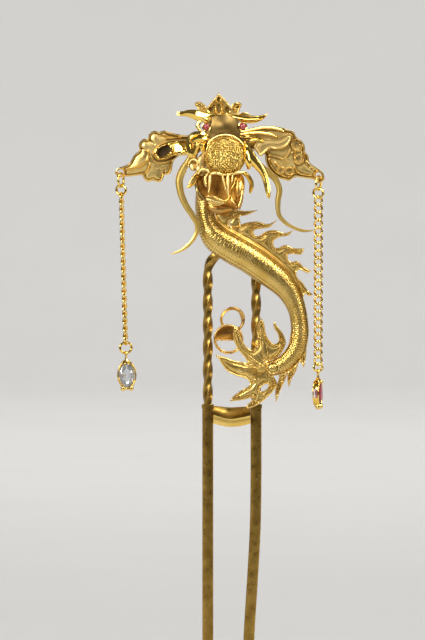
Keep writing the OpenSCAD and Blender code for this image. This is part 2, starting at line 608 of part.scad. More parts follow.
module crest() {
    outline = [for (edge = CREST_EDGES) each smooth(edge)];
    color(gold) {
        plate(crest_y, crest_floor) polygon(outline);
        plate(crest_y, crest_t) difference() {
            polygon(outline);
            for (hollow = CREST_HOLLOWS)
                translate([hollow[0], hollow[1]]) scale([hollow[2], hollow[3]]) circle(r = 1, $fn = 24);
        }
    }
}

module horn(rows) {
    color(gold) strand(rows, 8);
}

// Ribbon of changing width along a table of x, z, half width
module ribbon(rows) {
    fine = smooth(rows, 3);
    last = len(fine) - 1;
    function side(i, s) =
        let (a = fine[max(i - 1, 0)], b = fine[min(i + 1, last)], t = unit([b[0] - a[0], b[1] - a[1]]))
        [fine[i][0] - s * t[1] * fine[i][2], fine[i][1] + s * t[0] * fine[i][2]];
    polygon(concat([for (i = [0 : last]) side(i, 1)], [for (i = [last : -1 : 0]) side(i, -1)]));
}

module wing(outline, ribs, hole) {
    color(gold) difference() {
        union() {
            plate(wing_y, wing_t) polygon(smooth_loop(outline, 2));
            plate(wing_y, wing_t + relief_h) difference() {
                polygon(smooth_loop(outline, 2));
                offset(delta = -rim_w) polygon(smooth_loop(outline, 2));
            }
            for (rows = ribs) plate(wing_y - wing_t / 2, wing_t / 2 + relief_h) ribbon(rows);
        }
        translate([hole[0], 0, hole[1]]) rotate([90, 0, 0]) cylinder(r = hole_r, h = 10, $fn = 24);
    }
}

module ear_left() {
    color(gold) {
        plate(ear_y, EAR_PIT[3]) polygon(smooth_loop(EAR_LEFT, 3));
        plate(ear_y, ear_t) difference() {
            polygon(smooth_loop(EAR_LEFT, 3));
            translate(EAR_PIT[0]) rotate(EAR_PIT[2]) scale(EAR_PIT[1]) circle(r = 1, $fn = 40);
        }
    }
}
module ear_right() {
    color(gold) plate(ear_y, ear_t) polygon(smooth_loop(EAR_RIGHT, 3));
}

module whisker(rows) {
    color(gold) strand(rows);
}

// Chains

link_stations = 12;
wire_sides = 5;

// Closed wire loop about its middle, facing an angle, with each end turned out of its plane
module wire_loop(middle, half_w, half_l, facing, twist = 0) {
    n = link_stations;
    function at(k) =
        let (t = 360 * k / n, turn = facing + twist * sin(t))
        [half_w * cos(t) * cos(turn), half_w * cos(t) * sin(turn), half_l * sin(t)];
    rings = [for (k = [0 : n - 1])
        let (p = at(k), t = unit(at(k + 1) - at(k - 1)),
             away = unit(p - t * (p * t)), up = cross(t, away))
        [for (j = [0 : wire_sides - 1])
            let (a = 360 * j / wire_sides)
            middle + p + wire_r * (away * cos(a) + up * sin(a))]];
    polyhedron([for (ring = rings) each ring],
        [for (k = [0 : n - 1], i = [0 : wire_sides - 1])
            let (a = k * wire_sides + i, b = k * wire_sides + (i + 1) % wire_sides,
                 c = ((k + 1) % n) * wire_sides + i,
                 d = ((k + 1) % n) * wire_sides + (i + 1) % wire_sides)
            each [[a, c, d], [a, d, b]]],
        convexity = 4);
}

// Height of a wire's middle over the wire that it hangs on
hang = 2 * wire_r + 0.2;
ring1_half_w = 1.2;
ring1_half_l = 1.5;
ring2_r = 1.1;
ring1_facing = 65;
ring2_facing = -30;
jump_facing = 18;
bail_facing = 100;

// Places down a chain from its hole: first ring, second ring, first link
function ring1_z(hole) = hole[1] - ring1_half_l;
function ring2_z(hole) = hole[1] - 2 * ring1_half_l + hang - ring2_r;
function link_z(hole) = ring2_z(hole) - ring2_r + hang - link_half_l;
function jump_z(hole, links, pitch, jump_r) =
    link_z(hole) - (links - 1) * pitch - link_half_l + hang - jump_r;
jump_left_r = 1.2;
jump_right_r = 0.9;
link_facing_left = 90;
link_facing_right = 0;

module chain(hole, links, pitch, facing, twist, jump_r) {
    x = hole[0];
    color(gold) {
        wire_loop([x, chain_y, ring1_z(hole)], ring1_half_w, ring1_half_l, ring1_facing);
        wire_loop([x, chain_y, ring2_z(hole)], ring2_r, ring2_r, ring2_facing);
        for (k = [0 : links - 1])
            wire_loop([x, chain_y, link_z(hole) - k * pitch], link_half_w, link_half_l, facing, twist);
        wire_loop([x, chain_y, jump_z(hole, links, pitch, jump_r)], jump_r, jump_r, jump_facing);
    }
}

// Leans a chain and what hangs on it about its hole
module hung(hole, lean) {
    translate([hole[0], 0, hole[1]]) rotate([0, -lean, 0]) translate([-hole[0], 0, -hole[1]]) children();
}

// Drops

bail_r = 0.55;
bail_wire_r = 0.17;
neck_h = 0.75;
stone_steps = 16;
// Windows in the sides of the setting, and the feet under it: first and last y
window_y = [0, 0.5];
window_half_h = 0.85;
foot_y = [-0.8, 0.45];
function bail_z(jump, jump_r) = jump - jump_r + wire_r + bail_wire_r + 0.14 - bail_r;
function stone_z(jump, jump_r) =
    bail_z(jump, jump_r) - bail_r - neck_h - setting_wall - stone_half_h;

// Oval outline with slightly pointed ends
function stone_outline(grow = 0, scale_by = 1) =
    [for (k = [0 : stone_steps - 1])
        let (a = 360 * k / stone_steps, c = cos(a), s = sin(a))
        [(stone_half_w + grow) * scale_by * sign(c) * pow(abs(c), 1.15),
         (stone_half_h + grow) * scale_by * sign(s) * pow(abs(s), 1.05)]];

// Setting about its own middle, with the stone facing -Y and the drop turned by facing
module setting(facing) {
    difference() {
        rotate([90, 0, 0]) translate([0, 0, -setting_depth / 2]) linear_extrude(setting_depth)
            difference() {
                polygon(stone_outline(setting_wall + 0.08));
                polygon(stone_outline(0.08));
            }
        translate([-3, window_y[0], -window_half_h]) cube([6, window_y[1] - window_y[0], 2 * window_half_h]);
    }
    for (sx = [-1, 1]) translate([sx * 0.82, foot_y[1], -stone_half_h - 0.25])
        rotate([90, 0, 0]) cylinder(r = 0.46, h = foot_y[1] - foot_y[0], $fn = 24);
    hull() {
        translate([-0.75, -0.5, stone_half_h + 0.14]) cube([1.5, 1, 0.1]);
        translate([0, 0, stone_half_h + setting_wall + 0.3]) cylinder(r = 0.28, h = 0.05, $fn = 20);
    }
    for (sx = [-1, 1], sz = [-1, 1]) translate([sx * 1.05, setting_depth / 2 - 0.1, sz * 2.15])
        rotate([90, 0, 0]) cylinder(r = 0.2, h = setting_depth + 0.5, $fn = 16);
    translate([0, 0, stone_half_h + setting_wall - 0.15]) cylinder(r = 0.28, h = neck_h + 0.35, $fn = 20);
    translate([0, 0, stone_half_h + setting_wall + neck_h + bail_r])
        rotate([90, 0, bail_facing - facing]) rotate_extrude($fn = 32) translate([bail_r, 0]) circle(r = bail_wire_r, $fn = 16);
}

// Cut stone about its own middle: table, crown, girdle and pavilion
// columns: y, scale of the outline
STONE = [[-0.75, 0.55], [-0.25, 1], [-0.15, 1], [0.35, 0.55], [0.7, 0.08]];
module cut_stone() {
    skin([for (r = STONE) [for (p = stone_outline(0, r[1])) [-p[0], r[0], p[1]]]]);
}

// Puts a drop below its jump ring, turned to face an angle
module drop_place(hole, links, pitch, jump_r, facing) {
    jump = jump_z(hole, links, pitch, jump_r);
    translate([hole[0], chain_y, stone_z(jump, jump_r)]) rotate([0, 0, facing]) children();
}
drop_facing_left = 8;
drop_facing_right = 76;

module drop_left() {
    color(gold) hung(hole_left, lean_left)
        drop_place(hole_left, links_left, pitch_left, jump_left_r, drop_facing_left)
            setting(drop_facing_left);
}
module drop_right() {
    color(gold) drop_place(hole_right, links_right, pitch_right, jump_right_r, drop_facing_right)
        setting(drop_facing_right);
}
module stone_left() {
    color("white") hung(hole_left, lean_left)
        drop_place(hole_left, links_left, pitch_left, jump_left_r, drop_facing_left) cut_stone();
}
module stone_right() {
    color("crimson") drop_place(hole_right, links_right, pitch_right, jump_right_r, drop_facing_right)
        cut_stone();
}

fork();
dragon_body();
dorsal_fins();
tail_spikes();
tail_fin();
tail_scroll();
skull();
muzzle();
lip_fringe();
jaw();
tongue();
cheek(CHEEK_LEFT);  // cheek_left
cheek(CHEEK_RIGHT);  // cheek_right
eye(eye_at_left);  // eye_left
eye(eye_at_right);  // eye_right
crest();
horn(HORN_LEFT);  // horn_left
horn(HORN_RIGHT);  // horn_right
wing(WING_LEFT, RIBS_LEFT, hole_left);  // wing_left
wing(WING_RIGHT, RIBS_RIGHT, hole_right);  // wing_right
ear_left();
ear_right();
whisker(WHISKER_LEFT);  // whisker_left
whisker(WHISKER_RIGHT);  // whisker_right
hung(hole_left, lean_left)  // chain_left
        chain(hole_left, links_left, pitch_left, link_facing_left, -link_twist, jump_left_r);
chain(hole_right, links_right, pitch_right, link_facing_right, link_twist, jump_right_r);  // chain_right
drop_left();
drop_right();
stone_left();
stone_right();
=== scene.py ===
"""Looks of the two-pronged dragon hairpin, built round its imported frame.

All sizes in this file are in millimetres in the frame of the part: X to the right, +Z up, the dragon
faces -Y, and the origin is the middle of the underside of the crossbar. A mesh is scaled to metres
when its object is made.
"""
import math

import bpy
import numpy as np
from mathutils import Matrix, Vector, geometry


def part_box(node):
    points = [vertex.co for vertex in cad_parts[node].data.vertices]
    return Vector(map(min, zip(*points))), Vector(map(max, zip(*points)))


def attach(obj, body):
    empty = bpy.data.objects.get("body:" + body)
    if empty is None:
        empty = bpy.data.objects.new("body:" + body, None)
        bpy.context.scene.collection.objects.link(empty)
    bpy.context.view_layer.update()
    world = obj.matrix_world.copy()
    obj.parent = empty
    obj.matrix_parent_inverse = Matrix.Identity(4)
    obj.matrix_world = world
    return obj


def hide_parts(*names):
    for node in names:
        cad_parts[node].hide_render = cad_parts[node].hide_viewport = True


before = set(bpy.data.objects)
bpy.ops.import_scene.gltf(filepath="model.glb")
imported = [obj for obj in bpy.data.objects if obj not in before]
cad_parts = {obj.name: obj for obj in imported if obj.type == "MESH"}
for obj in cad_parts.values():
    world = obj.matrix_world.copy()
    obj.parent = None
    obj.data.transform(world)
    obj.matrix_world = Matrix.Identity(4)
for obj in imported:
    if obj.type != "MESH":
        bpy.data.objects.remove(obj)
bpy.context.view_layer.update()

MM = 0.001
SEED = 7
RANDOM = np.random.default_rng(SEED)
TINY = 1e-9


def unit(v):
    return v / np.maximum(np.linalg.norm(v, axis=-1, keepdims=True), TINY)


def cos_sin(degrees):
    turn = math.radians(degrees)
    return math.cos(turn), math.sin(turn)


def circle(count):
    """Angles of points round a circle."""
    return np.linspace(0, 2 * np.pi, count, endpoint=False)


def bell(offset, width):
    """1 where the offset is 0, falling away on both sides."""
    return np.exp(-(offset / width) ** 2)


def eased(gap, reach):
    """Rise from 0 at an edge to 1 at a reach from it."""
    return np.sin(np.clip(gap / reach, 0, 1) * np.pi / 2)


def squared(wave, power):
    """Cosines or sines whose circle turns boxy below a power of 1, and pointed above it."""
    return np.sign(wave) * np.abs(wave) ** power


def columns(*values):
    """Table whose columns are the given arrays and numbers."""
    return np.stack(np.broadcast_arrays(*values), axis=-1)


def slanted(x, z, u, v, degrees):
    """Places in X and Z that lie u along and v across an axis through x, z."""
    c, s = cos_sin(degrees)
    return columns(x + u * c - v * s, z + u * s + v * c)


# Points of a smooth curve for each row of its table, before they are spaced evenly
DENSE = 24


def along(rows, count, closed=False):
    """Rows on a smooth curve through a table's rows, count in all."""
    rows = np.asarray(rows, float)
    n = len(rows)
    span = n if closed else n - 1
    place = np.linspace(0, span, count, endpoint=not closed)
    i = np.minimum(place.astype(int), span - 1)
    f = (place - i)[:, None]
    a, b, c, d = (rows[k % n if closed else np.clip(k, 0, n - 1)] for k in (i - 1, i, i + 1, i + 2))
    return b + 0.5 * f * (c - a + f * (2 * a - 5 * b + 4 * c - d + f * (3 * (b - c) + d - a)))


def run_of(path):
    """Distance along a path at each of its points."""
    return np.concatenate([[0], np.cumsum(np.linalg.norm(np.diff(path, axis=0), axis=1))])


def places_on(rows, run, at):
    """Rows of a table at distances along its run."""
    return np.stack([np.interp(at, run, column) for column in rows.T], axis=1)


def evenly(rows, step, closed=False, dims=3):
    """Rows of a smooth curve through a table, a step apart. The first columns are its place."""
    dense = along(rows, len(rows) * DENSE, closed)
    if closed:
        dense = np.vstack([dense, dense[:1]])
    run = run_of(dense[:, :dims])
    at = np.linspace(0, run[-1], max(3, round(run[-1] / step) + 1))
    even = places_on(dense, run, at)
    return even[:-1] if closed else even


def arc(x, y, z, r, a):
    """Points at angles round a middle, in the plane that faces forward."""
    return columns(x + r * np.cos(a), y, z + r * np.sin(a))


def scroll(x, z, r0, r1, a0, a1, squeeze=1, tilt=0, points=28):
    """Spiral line in X and Z, from radius r0 at angle a0 to r1 at a1, in degrees."""
    a = np.radians(np.linspace(a0, a1, points))
    r = np.linspace(r0, r1, points)
    return slanted(x, z, r * np.cos(a), r * np.sin(a) * squeeze, tilt)


def oval_loop(x, z, half_w, half_h, slant, count=60):
    a = np.linspace(0, 2 * np.pi, count + 1)[:-1]
    return slanted(x, z, half_w * np.cos(a), half_h * np.sin(a), slant)


def in_oval(points, x, z, half_w, half_h, slant):
    """How far points lie from the middle of a slanting oval: 1 on its outline."""
    c, s = cos_sin(slant)
    dx, dz = points[:, 0] - x, points[:, 1] - z
    return np.hypot((dx * c + dz * s) / half_w, (dz * c - dx * s) / half_h)


# Swept shapes

def axes_of(path):
    """Direction of travel at each point of a path, and the two directions across it."""
    t = unit(np.gradient(path, axis=0))
    across = unit(np.cross([0, 1, 0], t))
    return t, across, np.cross(t, across)


def outward(verts, *blocks):
    """The same closed surface with its faces turned to look outward."""
    volume = 0
    middle = verts.mean(0)
    for block in blocks:
        a, b, c = (verts[block[:, k]] - middle for k in (0, 1, 2))
        volume += (a * np.cross(b, c)).sum()
        if block.shape[1] == 4:
            d = verts[block[:, 3]] - middle
            volume += (a * np.cross(c, d)).sum()
    return (verts, *(block if volume > 0 else block[:, ::-1] for block in blocks))


def skin(grid, looped=False):
    """Closed surface over a grid of rings, with a cap on each end or the last ring joined to the first."""
    rings, sides = grid.shape[:2]
    verts = grid.reshape(-1, 3)
    k, i = np.meshgrid(np.arange(rings if looped else rings - 1), np.arange(sides), indexing="ij")
    after, beside = (k + 1) % rings, (i + 1) % sides
    k, after = k * sides, after * sides
    quads = columns(k + i, k + beside, after + beside, after + i).reshape(-1, 4)
    if looped:
        return outward(verts, quads)
    i = np.arange(sides)
    near, far = len(verts), len(verts) + 1
    last = (rings - 1) * sides
    caps = np.vstack([columns(near, (i + 1) % sides, i), columns(far, last + i, last + (i + 1) % sides)])
    verts = np.vstack([verts, grid[0].mean(0), grid[-1].mean(0)])
    return outward(verts, quads, caps)


def sweep(rows, sides, lift=None):
    """Tube of oval section along rows of x, y, z, half width, half depth.

    lift(s, a) is the extra height at a distance s along and an angle a round, which is 0 to the left
    of the travel seen from the front, and 270 degrees at the front.
    """
    path = rows[:, :3]
    _, across, out = axes_of(path)
    a = circle(sides)
    s = run_of(path)[:, None]
    w, d = rows[:, 3:4], rows[:, 4:5]
    c, v = np.cos(a)[None], np.sin(a)[None]
    extra = lift(s, np.degrees(a)[None]) if lift else 0
    steep = np.hypot(c / w, v / d)
    c = w * c + extra * c / w / steep
    v = d * v + extra * v / d / steep
    return path[:, None] + across[:, None] * c[..., None] + out[:, None] * v[..., None]


# Square of the least share of its width that a strand keeps at a tip
TIP_SHARE = 0.02


def rounded(rows, length=0.25):
    """Rows with their ends drawn in to round tips."""
    rows = rows.copy()
    run = run_of(rows[:, :3])
    gap = np.minimum(run, run[-1] - run)
    share = np.sqrt(np.clip(1 - (1 - np.clip(gap / length, 0, 1)) ** 2, TIP_SHARE, 1))
    rows[:, 3:5] *= share[:, None]
    return rows


def with_depth(table):
    """Rows of five columns. A half depth that is left out is the half width."""
    return [(*row, row[-1])[:5] for row in table]


def strand(table, sides=14, step=0.12, lift=None):
    return skin(sweep(rounded(evenly(with_depth(table), step)), sides, lift))


def strands(tables, sides, lift=None):
    return [strand(table, sides, lift=lift) for table in tables]


def balls(middles, radii, sides=7, rings=3):
    """Small round beads, all of one mesh."""
    tilt = np.pi * np.arange(1, rings + 1)[:, None] / (rings + 1)
    turn = 2 * np.pi * np.arange(sides) / sides
    one, quads, caps = skin(columns(np.sin(tilt) * np.cos(turn), np.sin(tilt) * np.sin(turn), np.cos(tilt)))
    one[-2:] = [[0, 0, 1], [0, 0, -1]]
    middles = np.atleast_2d(middles)
    radii = np.broadcast_to(np.asarray(radii, float), len(middles))
    verts = (middles[:, None] + one[None] * radii[:, None, None]).reshape(-1, 3)
    start = (np.arange(len(middles)) * len(one))[:, None, None]
    return verts, (quads + start).reshape(-1, 4), (caps + start).reshape(-1, 3)


# Step of the points from which a row of beads is spaced
FINE = 0.05


def beaded(table, pitch, radius, side=0, deep=0.9):
    """Row of beads on the front of a strand, at a share of its half width to one side."""
    rows = evenly(with_depth(table), FINE)
    _, across, out = axes_of(rows[:, :3])
    place = math.sqrt(max(0, 1 - side * side))
    line = rows[:, :3] + across * rows[:, 3:4] * side - out * rows[:, 4:5] * place * deep
    run = run_of(line)
    at = np.arange(pitch, run[-1] - pitch, pitch)
    return balls(places_on(line, run, at), radius)


# Flat pieces with raised and engraved ornament

# Points measured at once, to spare memory
BATCH = 3000


def distances(points, path):
    """Least distance from each point to a path, and how far along the path that is."""
    start, step = path[:-1], np.diff(path, axis=0)
    length = np.maximum(np.linalg.norm(step, axis=1), TINY)
    run = np.concatenate([[0], np.cumsum(length)[:-1]])
    gaps, places = [], []
    for k in range(0, len(points), BATCH):
        p = points[k:k + BATCH, None]
        t = np.clip(((p - start) * step).sum(2) / length ** 2, 0, 1)
        d = np.linalg.norm(p - start - t[..., None] * step, axis=2)
        near = d.argmin(1)
        row = np.arange(len(near))
        gaps.append(d[row, near])
        places.append(run[near] + t[row, near] * length[near])
    return np.concatenate(gaps), np.concatenate(places)


def inside(points, loops):
    """Whether each point lies within the outer loop and outside the holes."""
    hit = np.zeros(len(points), bool)
    x, z = points[:, :1], points[:, 1:]
    for a in loops:
        b = np.roll(a, -1, axis=0)
        rise = np.where(b[:, 1] == a[:, 1], 1e-12, b[:, 1] - a[:, 1])
        crosses = (a[:, 1] > z) != (b[:, 1] > z)
        hit ^= (crosses & (x < (b[:, 0] - a[:, 0]) * (z - a[:, 1]) / rise + a[:, 0])).sum(1) % 2 == 1
    return hit


# Sharpest turn that a fine outline rounds off
CORNER = math.cos(math.radians(38))


def fine_loop(loop, step):
    """Loop drawn again with smooth runs between its corners, a step apart."""
    n = len(loop)
    d = unit(np.roll(loop, -1, 0) - loop)
    corners = [k for k in range(n) if d[k - 1] @ d[k] < CORNER]
    if not corners:
        return evenly(loop, step, closed=True, dims=2)
    runs = []
    for a, b in zip(corners, corners[1:] + [corners[0] + n]):
        runs.append(evenly(loop[np.arange(a, b + 1) % n], step, dims=2)[:-1])
    return np.vstack(runs)


def area_of(loop):
    x, z = loop.T
    return 0.5 * (x @ np.roll(z, -1) - z @ np.roll(x, -1))


def node_loops(node, step=0.22):
    """Fine outlines of a node's flat back: the outer one counter-clockwise, the holes clockwise."""
    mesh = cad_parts[node].data
    places = np.array([v.co for v in mesh.vertices]) / MM
    points, same = np.unique(places.round(4), axis=0, return_inverse=True)
    same = same.ravel()
    back = points[:, 1].max() - 0.01
    edges = set()
    for face in mesh.polygons:
        ring = [int(same[v]) for v in face.vertices]
        if min(points[v, 1] for v in ring) > back:
            for edge in zip(ring, ring[1:] + ring[:1]):
                if edge[::-1] in edges:
                    edges.remove(edge[::-1])
                else:
                    edges.add(edge)
    follow = dict(edges)
    loops = []
    while follow:
        first, at = follow.popitem()
        loop = [first]
        while at != first:
            loop.append(at)
            at = follow.pop(at)
        loops.append(fine_loop(points[loop][:, [0, 2]], step))
    loops.sort(key=lambda loop: -abs(area_of(loop)))
    return [loop if (area_of(loop) > 0) == (k == 0) else loop[::-1] for k, loop in enumerate(loops)]


def left_of(t):
    return columns(-t[:, 1], t[:, 0])


def normals_of(loop):
    """Directions into the piece at each point of a loop."""
    return left_of(unit(np.roll(loop, -1, 0) - np.roll(loop, 1, 0)))


# Least gap of a rim's points from the edge, and the share of its gap that an inset line keeps from every edge
EDGE_CLEAR, INSET_SHARE = 0.1, 0.93
# Step of an inset line's points, and the least one of any other line's
INSET_STEP, LINE_STEP = 0.2, 0.12
# Mesh points of a bead: share of its radius, how many
DOME_POINTS = ((0, 1), (0.6, 6), (1.02, 9))
# Least gap between points of the ornament, and that of the plain grid as a share of its step
SPOT_GAP, GRID_GAP = 0.045, 0.55
# Height of a grid row as a share of its step, and in how many of the front's inner points the back has one
ROW_SHARE, REAR_EACH = 0.87, 9


class Relief:
    """Ornament on a flat piece, drawn in X and Z: where its mesh needs points, and how high it stands."""

    def __init__(self, loops, grid, swell=lambda gap, points: 0 * gap):
        self.loops, self.grid, self.swell = loops, grid, swell
        self.closed = [np.vstack([loop, loop[:1]]) for loop in loops]
        self.spots, self.paths, self.rims, self.domes = [], [], [], []

    def edge_gap(self, points):
        return np.min([distances(points, path)[0] for path in self.closed], axis=0)

    def inset(self, gap):
        """Runs of points at a distance inside the edge."""
        runs = []
        for loop in self.loops:
            line = evenly(loop, INSET_STEP, closed=True, dims=2)
            line = line + normals_of(line) * gap
            good = (self.edge_gap(line) > gap * INSET_SHARE) & inside(line, self.loops)
            cut = np.flatnonzero(~good)
            if not len(cut):
                runs.append(np.vstack([line, line[:1]]))
                continue
            order = (np.arange(len(line)) + cut[0]) % len(line)
            run = []
            for k in order:
                if good[k]:
                    run.append(line[k])
                elif run:
                    runs.append(np.array(run))
                    run = []
            if run:
                runs.append(np.array(run))
        return [run for run in runs if len(run) > 3]

    def rim(self, gap, half, rise):
        """Raised or sunk line that follows the edge."""
        self.rims.append((gap, half, rise))
        for place in (gap - half, gap, gap + half):
            if place > EDGE_CLEAR:
                self.spots += self.inset(place)

    def lines(self, paths, half, rise, smooth=True):
        """Raised or engraved lines."""
        for path in paths:
            path = evenly(path, max(half, LINE_STEP), dims=2) if smooth else path
            self.paths.append((path, half, rise))
            aside = left_of(unit(np.gradient(path, axis=0))) * half
            self.spots += [path, path + aside, path - aside]

    def dome(self, middles, radius, rise):
        """Round beads or pits."""
        middles = np.atleast_2d(middles)
        self.domes.append((middles, radius, rise))
        for share, count in DOME_POINTS:
            for a in 2 * np.pi * np.arange(count) / count:
                self.spots.append(middles + radius * share * np.array([math.cos(a), math.sin(a)]))

    def bead_row(self, path, pitch, radius, rise):
        run = run_of(path)
        if run[-1] > pitch:
            at = np.arange(pitch / 2, run[-1], pitch)
            self.dome(places_on(path, run, at), radius, rise)

    def edge_beads(self, gap, pitch, radius, rise, bare=()):
        """Beads along the edge, but for those within the bare discs of x, z, radius."""
        for run in self.inset(gap):
            length = run_of(run)
            if length[-1] < 2 * pitch:
                continue
            at = np.arange(pitch / 2, length[-1], pitch)
            spots = places_on(run, length, at)
            for x, z, r in bare:
                spots = spots[np.hypot(spots[:, 0] - x, spots[:, 1] - z) > r]
            if len(spots):
                self.dome(spots, radius, rise)

    def height(self, points):
        gap = self.edge_gap(points)
        total = self.swell(gap, points)
        for at, half, rise in self.rims:
            total += rise * np.cos(np.clip((gap - at) / half, -1, 1) * np.pi / 2) ** 2
        raised, cut = np.zeros(len(points)), np.zeros(len(points))
        for path, half, rise in self.paths:
            d, place = distances(points, path)
            length = run_of(path)[-1]
            end = np.clip(np.minimum(place, length - place) / (2 * half) + 0.35, 0, 1)
            lift = rise * end * np.cos(np.clip(d / half, 0, 1) * np.pi / 2) ** 2
            raised, cut = np.maximum(raised, lift), np.minimum(cut, lift)
        total += raised + cut
        for middles, radius, rise in self.domes:
            low, high = middles.min(0) - radius, middles.max(0) + radius
            near = np.flatnonzero(((points > low) & (points < high)).all(1))
            for k in range(0, len(near), BATCH):
                part = near[k:k + BATCH]
                d = np.linalg.norm(points[part][:, None] - middles, axis=2).min(1) / radius
                total[part] += rise * np.sqrt(np.clip(1 - d * d, 0, 1))
        return total

    def points(self, clear):
        """Places of the mesh's inner points, none closer together than the least gap."""
        low, high = self.loops[0].min(0), self.loops[0].max(0)
        x = np.arange(low[0], high[0], self.grid)
        z = np.arange(low[1], high[1], self.grid * ROW_SHARE)
        gx, gz = np.meshgrid(x, z)
        gx[::2] += self.grid / 2
        spots = np.vstack(self.spots) if self.spots else np.zeros((0, 2))
        sets = [(spots, SPOT_GAP), (columns(gx.ravel(), gz.ravel()), self.grid * GRID_GAP)]
        kept, cells = [], {}
        cell = self.grid
        for candidates, least in sets:
            if not len(candidates):
                continue
            candidates = candidates[inside(candidates, self.loops)]
            candidates = candidates[self.edge_gap(candidates) > clear + least]
            for p in candidates:
                cx, cz = int(p[0] // cell), int(p[1] // cell)
                near = [q for i in (-1, 0, 1) for j in (-1, 0, 1) for q in cells.get((cx + i, cz + j), ())]
                if all((p[0] - q[0]) ** 2 + (p[1] - q[1]) ** 2 > least * least for q in near):
                    cells.setdefault((cx, cz), []).append(p)
                    kept.append(p)
        return np.array(kept).reshape(-1, 2)

    def solid(self, front, back, bevel=0.07, at=None):
        """Closed solid whose flat faces lie at front and back, in Y. at(points, y) may bend it."""
        at = at or (lambda points, y: columns(points[:, 0], y, points[:, 1]))
        edge = np.vstack(self.loops)
        inner = edge + np.vstack([normals_of(loop) for loop in self.loops]) * bevel
        count = len(edge)
        links, start = [], 0
        for loop in self.loops:
            i = np.arange(len(loop))
            links.append(columns(start + i, start + (i + 1) % len(loop)))
            start += len(loop)
        links = np.vstack(links)
        filling = self.points(bevel)
        face = np.vstack([inner, filling])
        rear = np.vstack([inner, filling[::REAR_EACH]])
        front_tri = triangles(face, links, self.loops)
        back_tri = triangles(rear, links, self.loops)[:, ::-1]
        verts = np.vstack([
            at(rear, np.full(len(rear), back)),
            at(edge, np.full(count, back - bevel)),
            at(edge, np.full(count, front + bevel)),
            at(face, front - self.height(face))])
        rings = [0, len(rear), len(rear) + count, len(rear) + 2 * count]
        here, beside = links.T
        walls = [columns(b + here, a + here, a + beside, b + beside) for a, b in zip(rings, rings[1:])]
        return verts, back_tri, front_tri + rings[3], *walls


def triangles(points, links, loops):
    """Triangles over points within loops, whose edges are kept."""
    made = geometry.delaunay_2d_cdt([Vector(p) for p in points], links.tolist(), [], 0, 1e-6, True)
    origin = np.array([ids[0] if ids else -1 for ids in made[3]])
    tri = origin[np.array(made[2])]
    tri = tri[(tri >= 0).all(1)]
    a, b, c = (points[tri[:, k]] for k in range(3))
    area = (b[:, 0] - a[:, 0]) * (c[:, 1] - a[:, 1]) - (b[:, 1] - a[:, 1]) * (c[:, 0] - a[:, 0])
    tri[area < 0] = tri[area < 0][:, ::-1]
    keep = np.concatenate([inside(part, loops) for part in np.array_split((a + b + c) / 3, 8)])
    return tri[keep & (np.abs(area) > TINY)]


# Objects and their finishes

# Hollow measure for the tarnish and painted shade of the hollows and the wear and painted highlight of the
# ridges: the depth that counts as 1 farther off, how often the shape is smoothed for that, and the two shares
HOLLOW_DEPTH = 0.12
HOLLOW_ROUNDS = 7
NEAR_SHARE, WIDE_SHARE = 0.5, 0.25


def mark_hollows(mesh):
    """Stores how far each point lies below its neighbours, near and farther off, for the tarnish and painted
    shade of the hollows and the wear and painted highlight of the ridges.
    """
    count = len(mesh.vertices)
    place, normal = np.empty(count * 3), np.empty(count * 3)
    mesh.vertices.foreach_get("co", place)
    mesh.vertices.foreach_get("normal", normal)
    place, normal = place.reshape(-1, 3) / MM, normal.reshape(-1, 3)
    edge = np.empty(len(mesh.edges) * 2, np.int32)
    mesh.edges.foreach_get("vertices", edge)
    a, b = edge.reshape(-1, 2).T
    ends = np.concatenate([a, b])
    degree = np.maximum(np.bincount(ends, minlength=count), 1)

    def mean(values):
        return np.bincount(ends, np.concatenate([values[b], values[a]]), count) / degree

    span = np.linalg.norm(place[a] - place[b], axis=1)
    length = np.bincount(ends, np.concatenate([span, span]), count) / degree
    soft = place
    near = None
    for _ in range(HOLLOW_ROUNDS):
        soft = columns(*map(mean, soft.T))
        near = soft if near is None else near
    fine = ((near - place) * normal).sum(1) / np.maximum(length, TINY)
    wide = ((soft - place) * normal).sum(1) / HOLLOW_DEPTH
    hollow = NEAR_SHARE * (fine + mean(fine)) + WIDE_SHARE * wide
    mesh.attributes.new("hollow", "FLOAT", "POINT").data.foreach_set("value", hollow.astype(np.float32))


def mesh_of(name, parts):
    """One mesh of parts, each of points and blocks of faces."""
    verts, faces, start = [], [], 0
    for points, *blocks in parts:
        verts.append(points)
        for block in blocks:
            faces += (np.asarray(block) + start).tolist()
        start += len(points)
    mesh = bpy.data.meshes.new(name)
    mesh.from_pydata((np.vstack(verts) * MM).tolist(), [], faces)
    return mesh


def in_scene(name, data):
    """Object in the scene for a mesh, a light or a camera."""
    made = bpy.data.objects.new(name, data)
    bpy.context.scene.collection.objects.link(made)
    return made


def piece(name, parts, material, nodes=(), **finish):
    dress(name, mesh_of(name, parts), material, nodes, **finish)


def dress(name, mesh, material, nodes=(), slot="gold", sharp=40, patina=True):
    """Makes a piece of a mesh, with its material, and has it stand for CAD nodes. The slot argument is not
    used.
    """
    mesh.shade_smooth()
    mesh.set_sharp_from_angle(angle=math.radians(sharp))
    if patina:
        mark_hollows(mesh)
    mesh.materials.append(material)
    made = in_scene(name, mesh)
    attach(made, "root")
    if nodes:
        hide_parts(*nodes)


